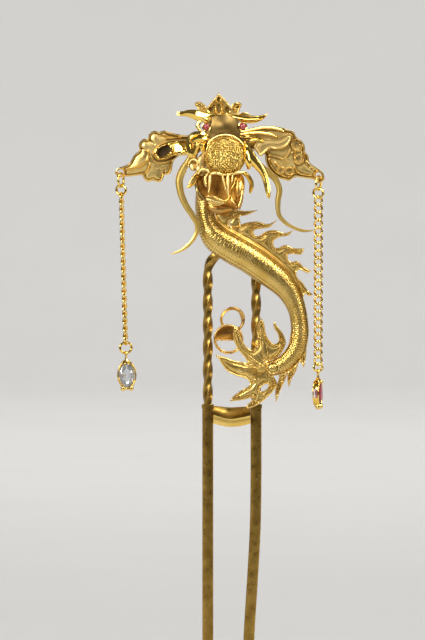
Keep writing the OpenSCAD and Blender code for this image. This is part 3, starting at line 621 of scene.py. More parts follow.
class Finish:
    """Short way to build a material's nodes."""

    def __init__(self, name):
        self.material = bpy.data.materials.new(name)
        self.material.use_nodes = True
        self.tree = self.material.node_tree
        self.shader = self.tree.nodes["Principled BSDF"]

    def add(self, kind, links=(), **values):
        node = self.tree.nodes.new(kind)
        for key, value in values.items():
            if hasattr(node, key):
                setattr(node, key, value)
            else:
                node.inputs[key.replace("_", " ")].default_value = value
        for socket, source in dict(links).items():
            self.tree.links.new(source, node.inputs[socket])
        return node

    def set(self, **values):
        for key, value in values.items():
            self.shader.inputs[key.replace("_", " ")].default_value = value

    def link(self, socket, source):
        self.tree.links.new(source, self.shader.inputs[socket])

    def noise(self, size, detail=3.0):
        """Noise whose blotches are about size millimetres across."""
        place = self.add("ShaderNodeTexCoord").outputs["Object"]
        noise = self.add("ShaderNodeTexNoise", {"Vector": place}, Scale=1 / (size * MM), Detail=detail)
        return noise.outputs["Fac"]

    def scale(self, source, low, high, to_low, to_high):
        limits = {"From_Min": low, "From_Max": high, "To_Min": to_low, "To_Max": to_high}
        return self.add("ShaderNodeMapRange", {"Value": source}, **limits).outputs["Result"]

    def blend(self, share, a, b):
        node = self.add("ShaderNodeMix", data_type="RGBA")
        for socket, value in (("A", a), ("B", b)):
            target = [i for i in node.inputs if i.name == socket and i.type == "RGBA"][0]
            if isinstance(value, tuple):
                target.default_value = (*value, 1)
            else:
                self.tree.links.new(value, target)
        self.tree.links.new(share, node.inputs["Factor"])
        return [o for o in node.outputs if o.type == "RGBA"][0]

    def bump(self, height, depth, strength):
        node = self.add("ShaderNodeBump", {"Height": height}, Distance=depth * MM, Strength=strength)
        self.link("Normal", node.outputs["Normal"])


GOLD_LIGHT = (0.92, 0.64, 0.15)
GOLD_DEEP = (0.80, 0.51, 0.085)
# Dark tone of the hollows: tarnish, and painted shade where less light reaches
GOLD_TARNISH_AND_SHADE = (0.12, 0.065, 0.012)
# Bright tone of the ridges: wear, and a painted highlight
GOLD_WEAR_AND_HIGHLIGHT = (1.0, 0.78, 0.32)
# Size of the tint's patches, and the part of a noise's range in which a tint turns into the other
PATCH = 2.5
TURN = (0.35, 0.65)
# Hollow at which the tarnish and painted shade start, and those at which the wear and painted highlight are
# full and at which they start, in shares of the spread. Then the share of the full wear and painted highlight
SUNK_FROM, WEAR_HIGHLIGHT_TO, WEAR_HIGHLIGHT_FROM = 0.33, -2.5, -0.8
WEAR_HIGHLIGHT_SHARE = 0.6
# Part of the grain's range that changes the roughness, and how much the grain and the hollows change it
GRAIN_TURN, GRAIN_ROUGH, HOLLOW_ROUGH = (0.3, 0.7), (0.75, 1.35), (-0.05, 0.25)


def gold(name, rough, grain, depth, tarnish_and_shade, spread, light=GOLD_LIGHT, deep=GOLD_DEEP):
    """Gold with bright edges, partly wear and partly a painted highlight, and darker hollows, partly tarnish
    and partly painted shade. grain and depth are those of its fine texture.
    """
    made = Finish(name)
    made.set(Metallic=1.0)
    hollow = made.add("ShaderNodeAttribute", attribute_name="hollow").outputs["Fac"]
    grains = made.noise(grain, detail=2)
    colour = made.blend(made.scale(made.noise(PATCH), *TURN, 0, 1), light, deep)
    # Hollows turn towards the dark tone: tarnish and painted shade
    sunk = made.scale(hollow, SUNK_FROM * spread, spread, 0, tarnish_and_shade)
    # Ridges turn towards the bright tone: wear and a painted highlight
    wear_and_highlight = made.scale(hollow, WEAR_HIGHLIGHT_TO * spread, WEAR_HIGHLIGHT_FROM * spread, WEAR_HIGHLIGHT_SHARE, 0)
    made.link("Base Color", made.blend(wear_and_highlight, made.blend(sunk, colour, GOLD_TARNISH_AND_SHADE), GOLD_WEAR_AND_HIGHLIGHT))
    wear = made.scale(grains, *GRAIN_TURN, *(rough * share for share in GRAIN_ROUGH))
    patina = made.scale(hollow, -spread, spread, *HOLLOW_ROUGH)
    made.link("Roughness", made.add("ShaderNodeMath", {0: wear, 1: patina}, operation="ADD").outputs[0])
    made.bump(grains, depth, 1.0)
    return made.material


# Sizes of the cloud inside a stone and of the waves of its skin, and the depth and strength of the waves
STONE_CLOUD, STONE_WAVE = 0.9, 0.4
WAVE_DEPTH, WAVE_STRENGTH = 0.003, 0.6


def stone(name, colour, shade, ior, rough, clear):
    made = Finish(name)
    made.set(Roughness=rough, IOR=ior, Transmission_Weight=clear)
    cloud = made.scale(made.noise(STONE_CLOUD, detail=2), *TURN, 0, 1)
    made.link("Base Color", made.blend(cloud, colour, shade))
    made.bump(made.noise(STONE_WAVE, detail=1), WAVE_DEPTH, WAVE_STRENGTH)
    return made.material


# Columns: name, roughness, size and depth of the grain, how far the hollows darken with tarnish and painted
# shade, spread of the hollow marks, light and deep tint
POLISHED = gold("gold_polished", 0.13, 0.5, 0.004, 0.4, 0.25)
WIRE = gold("gold_wire", 0.16, 0.4, 0.006, 0.35, 0.25)
GRANULATED = gold("gold_granulated", 0.24, 0.12, 0.02, 0.85, 0.2)
ENGRAVED = gold("gold_engraved", 0.22, 0.45, 0.035, 0.85, 0.12, (0.76, 0.53, 0.16), (0.64, 0.41, 0.09))
CHASED = gold("gold_chased", 0.32, 0.14, 0.008, 0.75, 0.2, (0.82, 0.58, 0.18), (0.70, 0.46, 0.11))
EMBOSSED = gold("gold_embossed", 0.33, 0.1, 0.008, 0.7, 0.25, (0.86, 0.63, 0.23), (0.80, 0.56, 0.18))
SATIN = gold("gold_satin", 0.34, 0.08, 0.004, 0.2, 0.6, (0.76, 0.55, 0.20), (0.72, 0.50, 0.17))
COMBED = gold("gold_combed", 0.3, 0.12, 0.008, 0.3, 0.5, (0.88, 0.62, 0.18), (0.80, 0.54, 0.13))
FORGED = gold("gold_forged", 0.2, 1.2, 0.004, 0.6, 0.25, (0.46, 0.285, 0.065), (0.33, 0.19, 0.038))
# Gold darkened to about a third, for the forehead: painted shade
FOREHEAD_SHADE = gold("gold_forehead_shade", 0.36, 0.08, 0.006, 0.3, 0.6, (0.31, 0.20, 0.062), (0.24, 0.15, 0.044))
WARM = gold("gold_warm", 0.24, 0.5, 0.008, 0.7, 0.25, (0.86, 0.50, 0.12), (0.70, 0.35, 0.07))
# Brown gold: painted shade and painted warm reflection, inside the jaw and on the tail's scroll
BROWN_PAINTED_SHADE = gold("gold_brown_painted_shade", 0.38, 0.5, 0.01, 0.5, 0.25, (0.66, 0.34, 0.06), (0.38, 0.17, 0.03))
# Dark brown: painted shade in the hollow of the tail's lower ring
SHADED = gold("gold_shaded", 0.42, 0.5, 0.01, 0.5, 0.25, (0.26, 0.13, 0.035), (0.15, 0.07, 0.018))
# Near black: painted shade in the pit of the left ear
BLACK_PAINTED_SHADE = gold("gold_black_painted_shade", 0.45, 0.5, 0.01, 0.5, 0.25, (0.09, 0.06, 0.03), (0.05, 0.03, 0.015))
# Columns: name, two colours of the cloud, index of refraction, roughness, share of clear glass
RUBY = stone("ruby", (0.70, 0.05, 0.12), (0.48, 0.02, 0.07), 1.77, 0.03, 0.85)
CLEAR = stone("clear_stone", (0.93, 0.95, 0.97), (0.80, 0.84, 0.88), 2.1, 0.03, 0.85)
EYE = stone("ruby_cabochon", (0.48, 0.06, 0.06), (0.34, 0.04, 0.04), 1.77, 0.2, 0.1)


# Fork: flat prongs, the twisted square wire over them, and the crossbar

PRONG_X = 4.85
# Sections of the prongs, of the collars over them and of the wire: half width, half thickness, corner
PRONG = (1.1, 0.65, 0.3)
COLLAR = (1.22, 0.77, 0.25)
TWIST = (0.75, 0.75, 0.14)
TIP_Z = -78
# Sections of a tip, each with its height over TIP_Z
TIP = [(0.35, 0.3, 0.1, 0), (0.8, 0.5, 0.2, 0.7), (1.0, 0.6, 0.25, 2), (*PRONG, 5)]
# Heights between which the left prong's plain rows lie, and their step
LEFT_RUN = (-72, -4, 1.0)
COLLAR_Z = 4.5
# Sections of a collar, each with its height over COLLAR_Z
COLLAR_ROWS = [(-0.9, PRONG), (-0.84, COLLAR), (-0.1, COLLAR)]
# Length of wire for a quarter of a turn, and the step of its rows
QUARTER = 4.6
TWIST_STEP = 0.28
ARCH_Z = 31
ARCH_RISE = 4.4
# Columns: z, x of the right prong's middle
RIGHT_RUN = [(3.5, 4.85), (-12, 4.85), (-22, 4.65), (-32, 4.1), (-42, 3.5), (-56, 3.0), (-73, 2.8)]
RIGHT_ROWS = 76
# Crossbar columns: x, top back height, ridge height, underside height
CROSSBAR = [
    (-4.9, 4.2, 2.7, 0.9), (-3.2, 4.1, 2.3, 0.5), (-0.6, 3.8, 1.6, 0.0), (2.0, 3.9, 1.9, 0.2),
    (4.9, 4.1, 2.6, 1.0)]
# Y of its back, of the ridge along its front, and of the front's upper and lower edges
CROSSBAR_BACK, CROSSBAR_RIDGE, CROSSBAR_TOP, CROSSBAR_LOW = 0.45, -1.5, 0.15, -1.3
# X at which it ends inside the prongs
CROSSBAR_REACH = PRONG_X - PRONG[0] + 0.1
# How hollow its upper face is in Y, and the shares of that in Z and of the lower face's swell
CROSSBAR_SAG, SAG_DOWN, SWELL_OUT = 0.22, 0.6, 0.9
CROSSBAR_ROWS, CROSSBAR_PLACES = 61, 8
# How far the bright skin of painted highlight stands before the underside, and how far it reaches into the
# strip
LIP_PROUD, LIP_DEEP = 0.03, 0.2
CORNER_POINTS = 5
# Places of the points along each flat of the wire, and the swell of a broad face for its extra width
FLAT_PLACES = (0.06, 0.2, 0.35, 0.5, 0.65, 0.8, 0.94)
FACE_SWELL = 0.22


def fork_rows():
    """Rows of x, z, half width, half thickness, corner and turn, from tip to tip."""
    up = ARCH_Z - COLLAR_Z
    arch = math.pi * (PRONG_X + ARCH_RISE) / 2
    length = 2 * up + arch
    quarter = length / round(length / QUARTER)
    collar = [(COLLAR_Z + z, section) for z, section in COLLAR_ROWS]
    rows = [(-PRONG_X, TIP_Z + z, *section, 0) for *section, z in TIP]
    rows += [(-PRONG_X, z, *PRONG, 0) for z in np.arange(*LEFT_RUN)]
    rows += [(-PRONG_X, z, *section, 0) for z, section in collar]
    for s in np.arange(0, length, TWIST_STEP):
        if s < up:
            x, z = -PRONG_X, COLLAR_Z + s
        elif s > up + arch:
            x, z = PRONG_X, COLLAR_Z + length - s
        else:
            a = math.pi * (1 - (s - up) / arch)
            x, z = PRONG_X * math.cos(a), ARCH_Z + ARCH_RISE * math.sin(a)
        rows.append((x, z, *TWIST, 90 * s / quarter))
    rows += [(PRONG_X, z, *section, 0) for z, section in reversed(collar)]
    rows += [(x, z, *PRONG, 0) for z, x in along(RIGHT_RUN, RIGHT_ROWS) if z < 0]
    rows += [(RIGHT_RUN[-1][1], TIP_Z + z, *section, 0) for *section, z in reversed(TIP[:-1])]
    return np.array(rows)


def crossbar():
    """Smile-shaped strip with a hollow upper face and a round lower one, and a skin of lighter gold over the
    lower face that paints its highlight.
    """
    rows = along(CROSSBAR, CROSSBAR_ROWS)
    x, top, ridge, under = (column[:, None] for column in rows[np.abs(rows[:, 0]) < CROSSBAR_REACH].T)
    f = np.linspace(0, 1, CROSSBAR_PLACES)[None]
    sag = CROSSBAR_SAG * np.sin(np.pi * f)
    hollow_y = CROSSBAR_TOP + (CROSSBAR_RIDGE - CROSSBAR_TOP) * f + sag
    belly_y = CROSSBAR_RIDGE + (CROSSBAR_LOW - CROSSBAR_RIDGE) * f - sag * SWELL_OUT
    belly_z = ridge + (under - ridge) * f
    back = np.full_like(x, CROSSBAR_BACK)
    y = np.concatenate([back, back, hollow_y + 0 * x, belly_y[:, 1:] + 0 * x], axis=1)
    hollow_z = top + (ridge - top) * f - sag * SAG_DOWN
    z = np.concatenate([under + 0.2, top, hollow_z, belly_z[:, 1:]], axis=1)
    lip_y = np.concatenate([belly_y - LIP_PROUD + 0 * x, belly_y[:, ::-1] + LIP_DEEP + 0 * x], axis=1)
    lip_z = np.concatenate([belly_z, belly_z[:, ::-1]], axis=1)
    for y, z in ((y, z), (lip_y, lip_z)):
        yield skin(columns(x, y, z))


def fork():
    x, z, w, d, corner, turn = fork_rows().T[..., None]
    path = np.concatenate([x, 0 * x, z], axis=1)
    _, across, out = axes_of(path)
    a = np.radians(np.linspace(0, 90, CORNER_POINTS))
    t = np.array(FLAT_PLACES)[None]
    flat_u, flat_v = (w - corner) * (1 - 2 * t), (d - corner) * (1 - 2 * t)
    bulge = 4 * t * (1 - t) * (w - d)
    u, v = [], []
    for k, (sx, sy) in enumerate(((1, 1), (-1, 1), (-1, -1), (1, -1))):
        u.append(sx * (w - corner) + corner * np.cos(a + k * np.pi / 2))
        v.append(sy * (d - corner) + corner * np.sin(a + k * np.pi / 2))
        u.append(sx * w + 0 * t if k % 2 else sx * flat_u)
        v.append(sy * flat_v if k % 2 else sy * (d + FACE_SWELL * bulge))
    u, v = np.concatenate(u, axis=1), np.concatenate(v, axis=1)
    turn = np.radians(turn)
    u, v = u * np.cos(turn) - v * np.sin(turn), u * np.sin(turn) + v * np.cos(turn)
    wire = skin(path[:, None] + across[:, None] * u[..., None] + out[:, None] * v[..., None])
    strip, lip = crossbar()
    piece("fork_gold", [wire, strip], FORGED, ["fork"], sharp=32, patina=False)
    # Lighter gold over the crossbar's lower face: painted highlight on its lit side
    piece("crossbar_painted_highlight", [lip], COMBED, sharp=60, patina=False)


# Dragon's body

# Columns: x, y, z, half width, half depth
BODY = [
    (-2.9, -3.2, 52.7, 1.7, 1.6), (-4.2, -3.3, 50.4, 1.7, 1.7), (-5.2, -3.4, 47.8, 1.6, 1.7),
    (-5.5, -3.4, 44.4, 1.55, 1.7), (-5.1, -3.4, 41.4, 1.65, 1.8), (-4.2, -3.4, 39.4, 2.2, 2.1),
    (-2.7, -3.45, 37.7, 2.6, 2.2), (0.2, -3.5, 35.8, 2.7, 2.25), (3.4, -3.5, 34.0, 2.7, 2.25),
    (6.8, -3.4, 31.6, 2.6, 2.1), (9.9, -3.2, 29.1, 2.35, 1.9), (11.7, -3.0, 26.7, 1.9, 1.6),
    (13.0, -2.9, 23.6, 1.5, 1.4), (13.5, -2.8, 20.6, 1.45, 1.3), (13.5, -2.7, 18.5, 1.5, 1.3),
    (12.9, -2.5, 15.7, 1.5, 1.25), (11.1, -2.2, 13.3, 1.45, 1.15), (9.1, -1.9, 12.1, 1.35, 1.0),
    (7.6, -1.75, 11.8, 1.15, 0.85), (6.8, -1.75, 11.75, 1.05, 0.75)]
BODY_SIDES = 116
BODY_STEP = 0.092
# What the scaled skin adds to each side, so that it meets the fins
BODY_EASE = 0.17
SCALE_PITCH = 0.43
SCALES_ROUND = 22
SCALE_LIFT = 0.105
# Sways of the scales' rows: size, how fast it changes along the body and round it
SWAYS = [(0.1, 1.9, 0.07), (0.1, 0.7, -0.11)]
# Angles from the belly's middle line: edge of the scutes, where the scales end and the groove beside the seam
BELLY_BAND, SCALES_END, GROOVE = 38, 165, 168
SCUTE_PITCH = 0.5
# Raised and sunk lines along the body: height, width as an angle
BORDER, SEAM_GROOVE, BODY_RIB = (0.12, 3.0), (-0.06, 2.0), (0.12, 6)
# Bare lengths at the head's and the tail's end of the seam along the back
SEAM_ENDS = (10.5, 1.6)
# Half width and half depth of the seam's wire, and how far it stands off the body's edge
SEAM_WIRE, SEAM_OFF = (0.15, 0.32), 0.02
# Ring round the end of the tail: middle x and z, radius. Its raised line and the sunk one inside it: height
# or depth, width, place
TAIL_RING = (8.2, 11.95, 1.2)
RING_RAISED, RING_SUNK = (0.2, 0.13), (0.12, 0.12, 0.3)


def scale_height(u, v):
    """Overlapping scales on a lattice of rows along u and places along v: 0 at a root, 1 at a free edge."""
    best = np.zeros(np.broadcast(u, v).shape)
    free = np.ones(best.shape, bool)
    row = np.floor(u)
    for back in (0, 1):
        start = row - back
        shift = 0.5 * (start % 2)
        beside = (v - shift + 0.5) % 1 - 0.5
        ahead = u - start
        reach = 1.5 - 3.6 * beside * beside
        covered = free & (ahead < reach)
        best = np.where(covered, np.clip(ahead / np.maximum(reach, 0.3), 0, 1) ** 1.6, best)
        free &= ~covered
    return best


def body_lift(s, a):
    side = np.abs((a + 180) % 360 - 180)
    sway = sum(size * np.sin(s * along_s + a * along_a) for size, along_s, along_a in SWAYS)
    scales = (scale_height(s / SCALE_PITCH + sway, a / 360 * SCALES_ROUND) - 1) * SCALE_LIFT
    scutes = 0.1 * np.abs(np.sin(np.pi * s / SCUTE_PITCH)) ** 0.7 - 0.06
    border = BORDER[0] * bell(side - BELLY_BAND, BORDER[1])
    lift = np.where(side < BELLY_BAND - BORDER[1], scutes, np.where(side > SCALES_END, 0, scales)) + border
    groove = SEAM_GROOVE[0] * bell(side - GROOVE, SEAM_GROOVE[1])
    rise, width = BODY_RIB
    return lift + groove + rise * (bell(side, width) + bell(180 - side, width))


def dragon_body():
    rows = evenly(BODY, BODY_STEP)
    rows[:, 3:5] += BODY_EASE
    grid = sweep(rounded(rows, 0.8), BODY_SIDES, body_lift)
    x, z, r = TAIL_RING
    gap = np.hypot(grid[..., 0] - x, grid[..., 2] - z) - r
    front = grid[..., 1] < rows[-1, 1]
    raised = RING_RAISED[0] * bell(gap, RING_RAISED[1])
    grid[..., 1] -= front * (raised - RING_SUNK[0] * bell(gap + RING_SUNK[2], RING_SUNK[1]))
    piece("dragon_body_gold", [skin(grid)], ENGRAVED, ["dragon_body"], sharp=75)


# Fins

def flat_of(node, raised=0):
    """Front and back of a flat CAD node, in Y, less what is raised on its front."""
    low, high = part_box(node)
    return low.y / MM + raised, high.y / MM


def seam():
    """Wire along the back edge of the body, where the fins and spikes stand on it."""
    rows = evenly(BODY, step=0.12)
    _, across, _ = axes_of(rows[:, :3])
    rows[:, :3] -= across * (rows[:, 3:4] + BODY_EASE + SEAM_OFF)
    rows[:, 3:] = SEAM_WIRE
    run = run_of(rows[:, :3])
    rows = rows[(run > SEAM_ENDS[0]) & (run < run[-1] - SEAM_ENDS[1])]
    return skin(sweep(rounded(rows, 0.3), 12))


def padded(gap, points):
    """Field that swells softly inside its rim."""
    return 0.26 * eased(gap - 0.4, 1.3) - 0.1


# Rim: gap from the edge, half width, rise. Beads: gap from the edge, pitch, radius, rise. Lines: half width,
# rise
FIN_RIM = (0.17, 0.16, 0.14)
FIN_BEADS = (0.47, 0.36, 0.16, 0.18)
FIN_LINE, FAN_LINE = (0.11, -0.1), (0.09, -0.09)
FIN_RAISED, FIN_BEVEL = 0.1, 0.11
# How far the beads of the fins keep off the side of the body
BODY_CLEAR = 1


def fin(node, lines, bare=(), fan=(), extra=()):
    relief = Relief(node_loops(node), grid=0.3, swell=padded)
    relief.rim(*FIN_RIM)
    body = [(x, z, w + BODY_CLEAR) for x, _, z, w, _ in evenly(BODY, step=1)]
    relief.edge_beads(*FIN_BEADS, [*bare, *body])
    relief.lines(lines, *FIN_LINE)
    relief.lines(fan, *FAN_LINE)
    solid = relief.solid(*flat_of(node, FIN_RAISED), bevel=FIN_BEVEL)
    piece(node + "_gold", [solid, *extra], CHASED, [node])


# Engraved lines of the flames, from root to tip
# Columns of each point: x, z
DORSAL_LINES = [
    [(-3.4, 42.6), (-1.0, 43.0), (1.6, 43.0), (3.4, 43.2)],
    [(-2.2, 41.6), (-0.8, 42.3), (0.8, 42.6)],
    [(0.2, 40.1), (2.0, 40.4), (4.2, 40.6), (6.6, 40.4)],
    [(1.6, 38.9), (3.0, 39.7), (4.4, 40.1)],
    [(4.8, 37.8), (6.6, 38.6), (8.6, 38.9), (10.6, 38.9)],
    [(6.2, 37.0), (7.2, 37.7), (8.2, 38.2)],
    [(8.8, 35.3), (10.4, 35.9), (12.2, 35.5), (13.6, 35.5)],
    [(9.8, 34.4), (10.8, 34.9), (11.6, 35.1)],
    [(11.7, 32.7), (12.8, 32.7), (14.0, 32.0)],
    [(13.4, 29.2), (14.2, 28.3), (15.0, 27.2)]]
SPIKE_LINES = [
    [(14.3, 16.6), (14.4, 14.4), (14.3, 13.0)],
    [(12.8, 12.8), (12.3, 11.2), (11.8, 9.6)],
    [(10.5, 10.8), (9.9, 9.0), (9.3, 7.2)]]
TAIL_LINES = [
    [(6.2, 12.6), (4.6, 13.6), (3.2, 14.8), (1.8, 16.6), (1.0, 18.6)],
    [(6.8, 13.4), (6.2, 15.0), (5.9, 17.0), (5.9, 19.4)],
    [(7.4, 13.8), (7.2, 15.2), (7.0, 16.4)],
    [(7.8, 13.8), (8.9, 14.8), (9.8, 16.4), (9.8, 18.0), (9.2, 19.2)],
    [(5.4, 9.8), (4.6, 8.8), (3.4, 7.7), (1.4, 6.4)],
    [(4.2, 9.2), (3.2, 8.2), (2.2, 7.4)],
    [(8.2, 9.8), (8.0, 8.2), (6.6, 6.4), (4.8, 5.0)],
    [(7.0, 5.9), (6.0, 5.0), (5.0, 4.3)]]
# The large left lobe of the tail has no beads: middle x and z, radius
TAIL_BARE = [(0.4, 12.6, 4.6), (-2.6, 14.0, 2.0), (4.6, 11.2, 1.9)]
# Round bead at the tail's tip, and its radius
TAIL_TIP, TAIL_TIP_R = (-2.95, -1.65, 14.25), 0.3
# Fan of engraved lines that leaves the end of the tail: angle, first and last radius, bend
TAIL_FAN = [
    (167, 1.7, 6.0, 7), (171, 1.7, 8.6, 7), (175, 1.6, 7.4, 5), (178, 1.6, 8.0, 4), (182.5, 1.6, 7.2, 1),
    (187.5, 1.6, 6.8, -2), (192.5, 1.6, 5.8, -4), (204, 1.7, 5.0, -5), (141, 1.9, 4.0, 2), (119, 1.9, 4.0, 0),
    (180, 1.6, 6.2, 3), (185, 1.6, 5.4, 0), (190, 1.6, 6.6, -3), (195, 1.6, 5.2, -4), (201, 1.7, 4.6, -5),
    (208, 1.8, 4.4, -4), (163, 1.8, 4.4, 6), (152, 1.9, 4.6, 4), (128, 1.9, 3.6, 0), (110, 1.9, 3.4, 0)]


def tail_fan():
    x, z, _ = TAIL_RING
    for angle, near, far, bend in TAIL_FAN:
        r = np.linspace(near, far, 8)
        a = np.radians(angle - bend * ((r - near) / (far - near)) ** 2)
        yield columns(x + r * np.cos(a), z + r * np.sin(a))


# Smooth leaf behind the first two fins of the back, and its front and back in Y
BACK_LEAF = [
    (-0.5, 40.9), (-0.1, 41.7), (0.5, 42.3), (1.4, 42.5), (1.6, 41.5), (1.7, 40.4), (0.9, 39.9), (0.1, 40.1)]
BACK_LEAF_Y = (-2.95, -2.6)


def drawn(table):
    """Fine outline through a table's points."""
    return evenly(table, step=0.15, closed=True, dims=2)


def dished(loop, front, back, grid, rise, reach, bevel=0.07):
    """Plate within a loop, whose front rises or falls over a reach from its edge."""
    return Relief([loop], grid, lambda gap, points: rise * eased(gap, reach)).solid(front, back, bevel)


def back_leaf():
    return dished(drawn(BACK_LEAF)[::-1], *BACK_LEAF_Y, grid=0.2, rise=0.2, reach=0.7)


# Wings

WING_RAISED = 0.3
# Rims: gap from the edge, half width, rise. Lines: half width, rise. Beads: pitch, radius, rise
WING_RIMS = [(0.24, 0.24, WING_RAISED + 0.12), (0.5, 0.12, -0.05)]
WING_LINE, CREASE_LINE, HATCH_LINE = (0.2, 0.3), (0.3, -0.22), (0.07, -0.06)
CURL_LINE, CURL_BEADS = (0.3, 0.16), (0.36, 0.17, 0.2)
RIB_LINE, RIB_BEADS = (0.34, 0.16), (0.36, 0.17, 0.17)
# Pit inside each scroll: how much smaller it is than the last turn, and its depth
CURL_PIT = (0.25, -0.16)
# Beads along the right wing's edge: gap, pitch, radius, rise
WING_BEADS = {"wing_right": (0.72, 0.38, 0.16, 0.18)}
# Scrolls: centre x and z, first and last radius, first and last angle, squeeze, tilt
SCROLLS = {
    "wing_right": [
        (12.9, 56.5, 1.0, 1.0, 0, 350, 1.2, 35), (13.3, 53.7, 0.95, 0.75, 210, 560, 1, 0),
        (11.5, 51.35, 0.95, 0.8, 10, 370, 0.7, 10), (9.7, 51.4, 0.7, 0.6, 0, 350, 1, 0),
        (12.9, 58.5, 0.5, 0.2, 200, -120, 1, 0)]}
# Raised lines of the wings
# Columns of each point: x, z
WING_LINES = {
    "wing_left": [
        [(-21.4, 51.5), (-19.8, 51.9), (-18.4, 52.3), (-17.4, 52.9), (-16.6, 53.6), (-16.6, 54.9),
         (-17.0, 55.6)],
        [(-17.9, 50.5), (-17.0, 51.2), (-16.6, 52.0), (-16.4, 52.9)],
        [(-14.6, 58.5), (-12.6, 58.2), (-9.8, 57.9), (-7.4, 57.7)]],
    "wing_right": [
        [(12.4, 52.4), (13.0, 51.2), (14.2, 50.6), (15.6, 50.4)],
        [(14.3, 54.6), (14.9, 53.2), (15.8, 52.2), (17.0, 51.4)],
        [(8.6, 53.2), (8.9, 52.6), (9.4, 52.2)],
        [(10.4, 50.4), (9.0, 51.0), (7.9, 52.2), (7.2, 53.8)],
        [(7.2, 55.0), (7.6, 53.6), (8.2, 52.8)],
        [(11.9, 55.0), (12.6, 55.2), (12.4, 54.2), (12.7, 53.2)]]}
# Creases between the lobes of the left wing
CREASES = {
    "wing_left": [
        [(-16.8, 57.9), (-16.1, 57.3), (-15.4, 56.7)],
        [(-18.5, 55.9), (-17.7, 55.8), (-16.8, 55.7)],
        [(-13.7, 50.2), (-13.6, 51.1), (-13.3, 52.0)],
        [(-17.4, 53.7), (-17.1, 54.6), (-17.4, 55.6)]]}
# Beaded ribs that leave the head over each ear
WING_RIBS = {
    "wing_left": [
        [(-6.8, 57.9), (-9.4, 58.2), (-11.4, 58.0), (-13.4, 57.9)],
        [(-16.1, 54.5), (-15.6, 53.5), (-14.5, 53.0), (-13.0, 53.2), (-11.3, 53.9), (-9.6, 54.4)]],
    "wing_right": [[(7.4, 54.6), (8.8, 54.2), (10.2, 53.9), (11.2, 54.8), (11.6, 56.0)]]}
# Hollow and boss of the left ear: middle x and z, half width and half height, slant in degrees
EAR_PIT = (-13.55, 55.35, 1.5, 0.85, 30)
EAR_BOSS = (-11.0, 56.0, 1.8, 1.15, -35)
# The facet's height over the ear at the boss's middle, its slopes to the right and up, and its least height
EAR_FACET = (0.5, 0.32, -0.22)
FACET_LEAST = 0.05
# Rolled edges of the ears: rise, place and width
CUP_EDGE, LEAF_EDGE = (0.4, 0.3, 0.22), (0.3, 0.22, 0.2)
EAR_BEVEL = 0.1
# Near-black dish of painted shade behind the pit: how far it reaches past it, its thickness and how deep it
# is dished
PIT_REACH, PIT_FLOOR, PIT_DISH = 0.1, 0.14, 0.1
SHADE_DISH_BEVEL = 0.03
# Outline of the left ear's rolled rim
EAR_RIM = [
    (-9.0, 57.35), (-10.8, 57.5), (-12.4, 57.4), (-13.8, 56.95), (-15.0, 56.15), (-15.65, 55.1),
    (-15.5, 54.2), (-14.6, 53.65), (-13.2, 53.75), (-11.8, 54.3), (-10.4, 54.55), (-9.4, 54.75), (-8.5, 56.1)]
# Hatched fields: middle x and z, half width and half height, slant in degrees
HATCH = {"wing_left": (-14.6, 52.3, 0.9, 0.5, -40), "wing_right": (10.6, 53.0, 1.2, 0.8, -38)}
HATCH_PITCH = 0.3


def hatch(x, z, half_w, half_h, slant):
    for v in np.arange(-half_h, half_h + 0.01, HATCH_PITCH):
        reach = half_w * math.sqrt(max(0.05, 1 - (v / half_h) ** 2))
        yield slanted(x, z, np.linspace(-reach, reach, 6), v, slant)


def wing(node):
    relief = Relief(node_loops(node), grid=0.26, swell=padded)
    for rim in WING_RIMS:
        relief.rim(*rim)
    if node in WING_BEADS:
        relief.edge_beads(*WING_BEADS[node])
    for curl in SCROLLS.get(node, ()):
        fine = evenly(scroll(*curl), FINE, dims=2)
        relief.lines([fine], *CURL_LINE, smooth=False)
        relief.bead_row(fine, *CURL_BEADS)
        relief.dome([curl[:2]], curl[3] - CURL_PIT[0], CURL_PIT[1])
    relief.lines(WING_LINES[node], *WING_LINE)
    relief.lines(CREASES.get(node, ()), *CREASE_LINE)
    for path in WING_RIBS[node]:
        relief.lines([path], *RIB_LINE)
        relief.bead_row(evenly(path, FINE, dims=2), *RIB_BEADS)
    relief.lines(hatch(*HATCH[node]), *HATCH_LINE)
    piece(node + "_gold", [relief.solid(*flat_of(node, WING_RAISED))], EMBOSSED, [node])


def rolled(gap, rise, place, width):
    return rise * bell(gap - place, width)


def cup(gap, points):
    """Left ear: a rolled edge round a deep hollow, with a polished facet that leans to the light."""
    inner = np.clip((1 - in_oval(points, *EAR_BOSS)) / 0.3, 0, 1)
    middle, right, up = EAR_FACET
    facet = middle + right * (points[:, 0] - EAR_BOSS[0]) + up * (points[:, 1] - EAR_BOSS[1])
    return rolled(gap, *CUP_EDGE) + inner * inner * (3 - 2 * inner) * np.maximum(facet, FACET_LEAST)


def ear_left():
    front, back = flat_of("ear_left")
    shell = Relief([drawn(EAR_RIM), oval_loop(*EAR_PIT)[::-1]], grid=0.14, swell=cup)
    piece("ear_left_gold", [shell.solid(front, back, EAR_BEVEL)], POLISHED, ["ear_left"])
    # Near-black dish behind the pit, which paints the dark of the hollow
    x, z, half_w, half_h, slant = EAR_PIT
    loop = oval_loop(x, z, half_w + PIT_REACH, half_h + PIT_REACH, slant)
    floor = dished(loop, back - PIT_FLOOR, back, grid=0.25, rise=-PIT_DISH, reach=0.8, bevel=SHADE_DISH_BEVEL)
    piece("ear_left_painted_shade", [floor], BLACK_PAINTED_SHADE)


def leaf(gap, points):
    """Right ear: a smooth leaf that falls away to a rolled lower edge."""
    low = np.clip((58.6 - points[:, 1]) / 1.6, 0, 1)
    return 0.4 * eased(gap, 1.6) ** 0.8 + rolled(gap, *LEAF_EDGE) * low


def ear_right():
    relief = Relief(node_loops("ear_right", step=0.15), grid=0.14, swell=leaf)
    piece("ear_right_gold", [relief.solid(*flat_of("ear_right"), EAR_BEVEL)], SATIN, ["ear_right"])


# Head

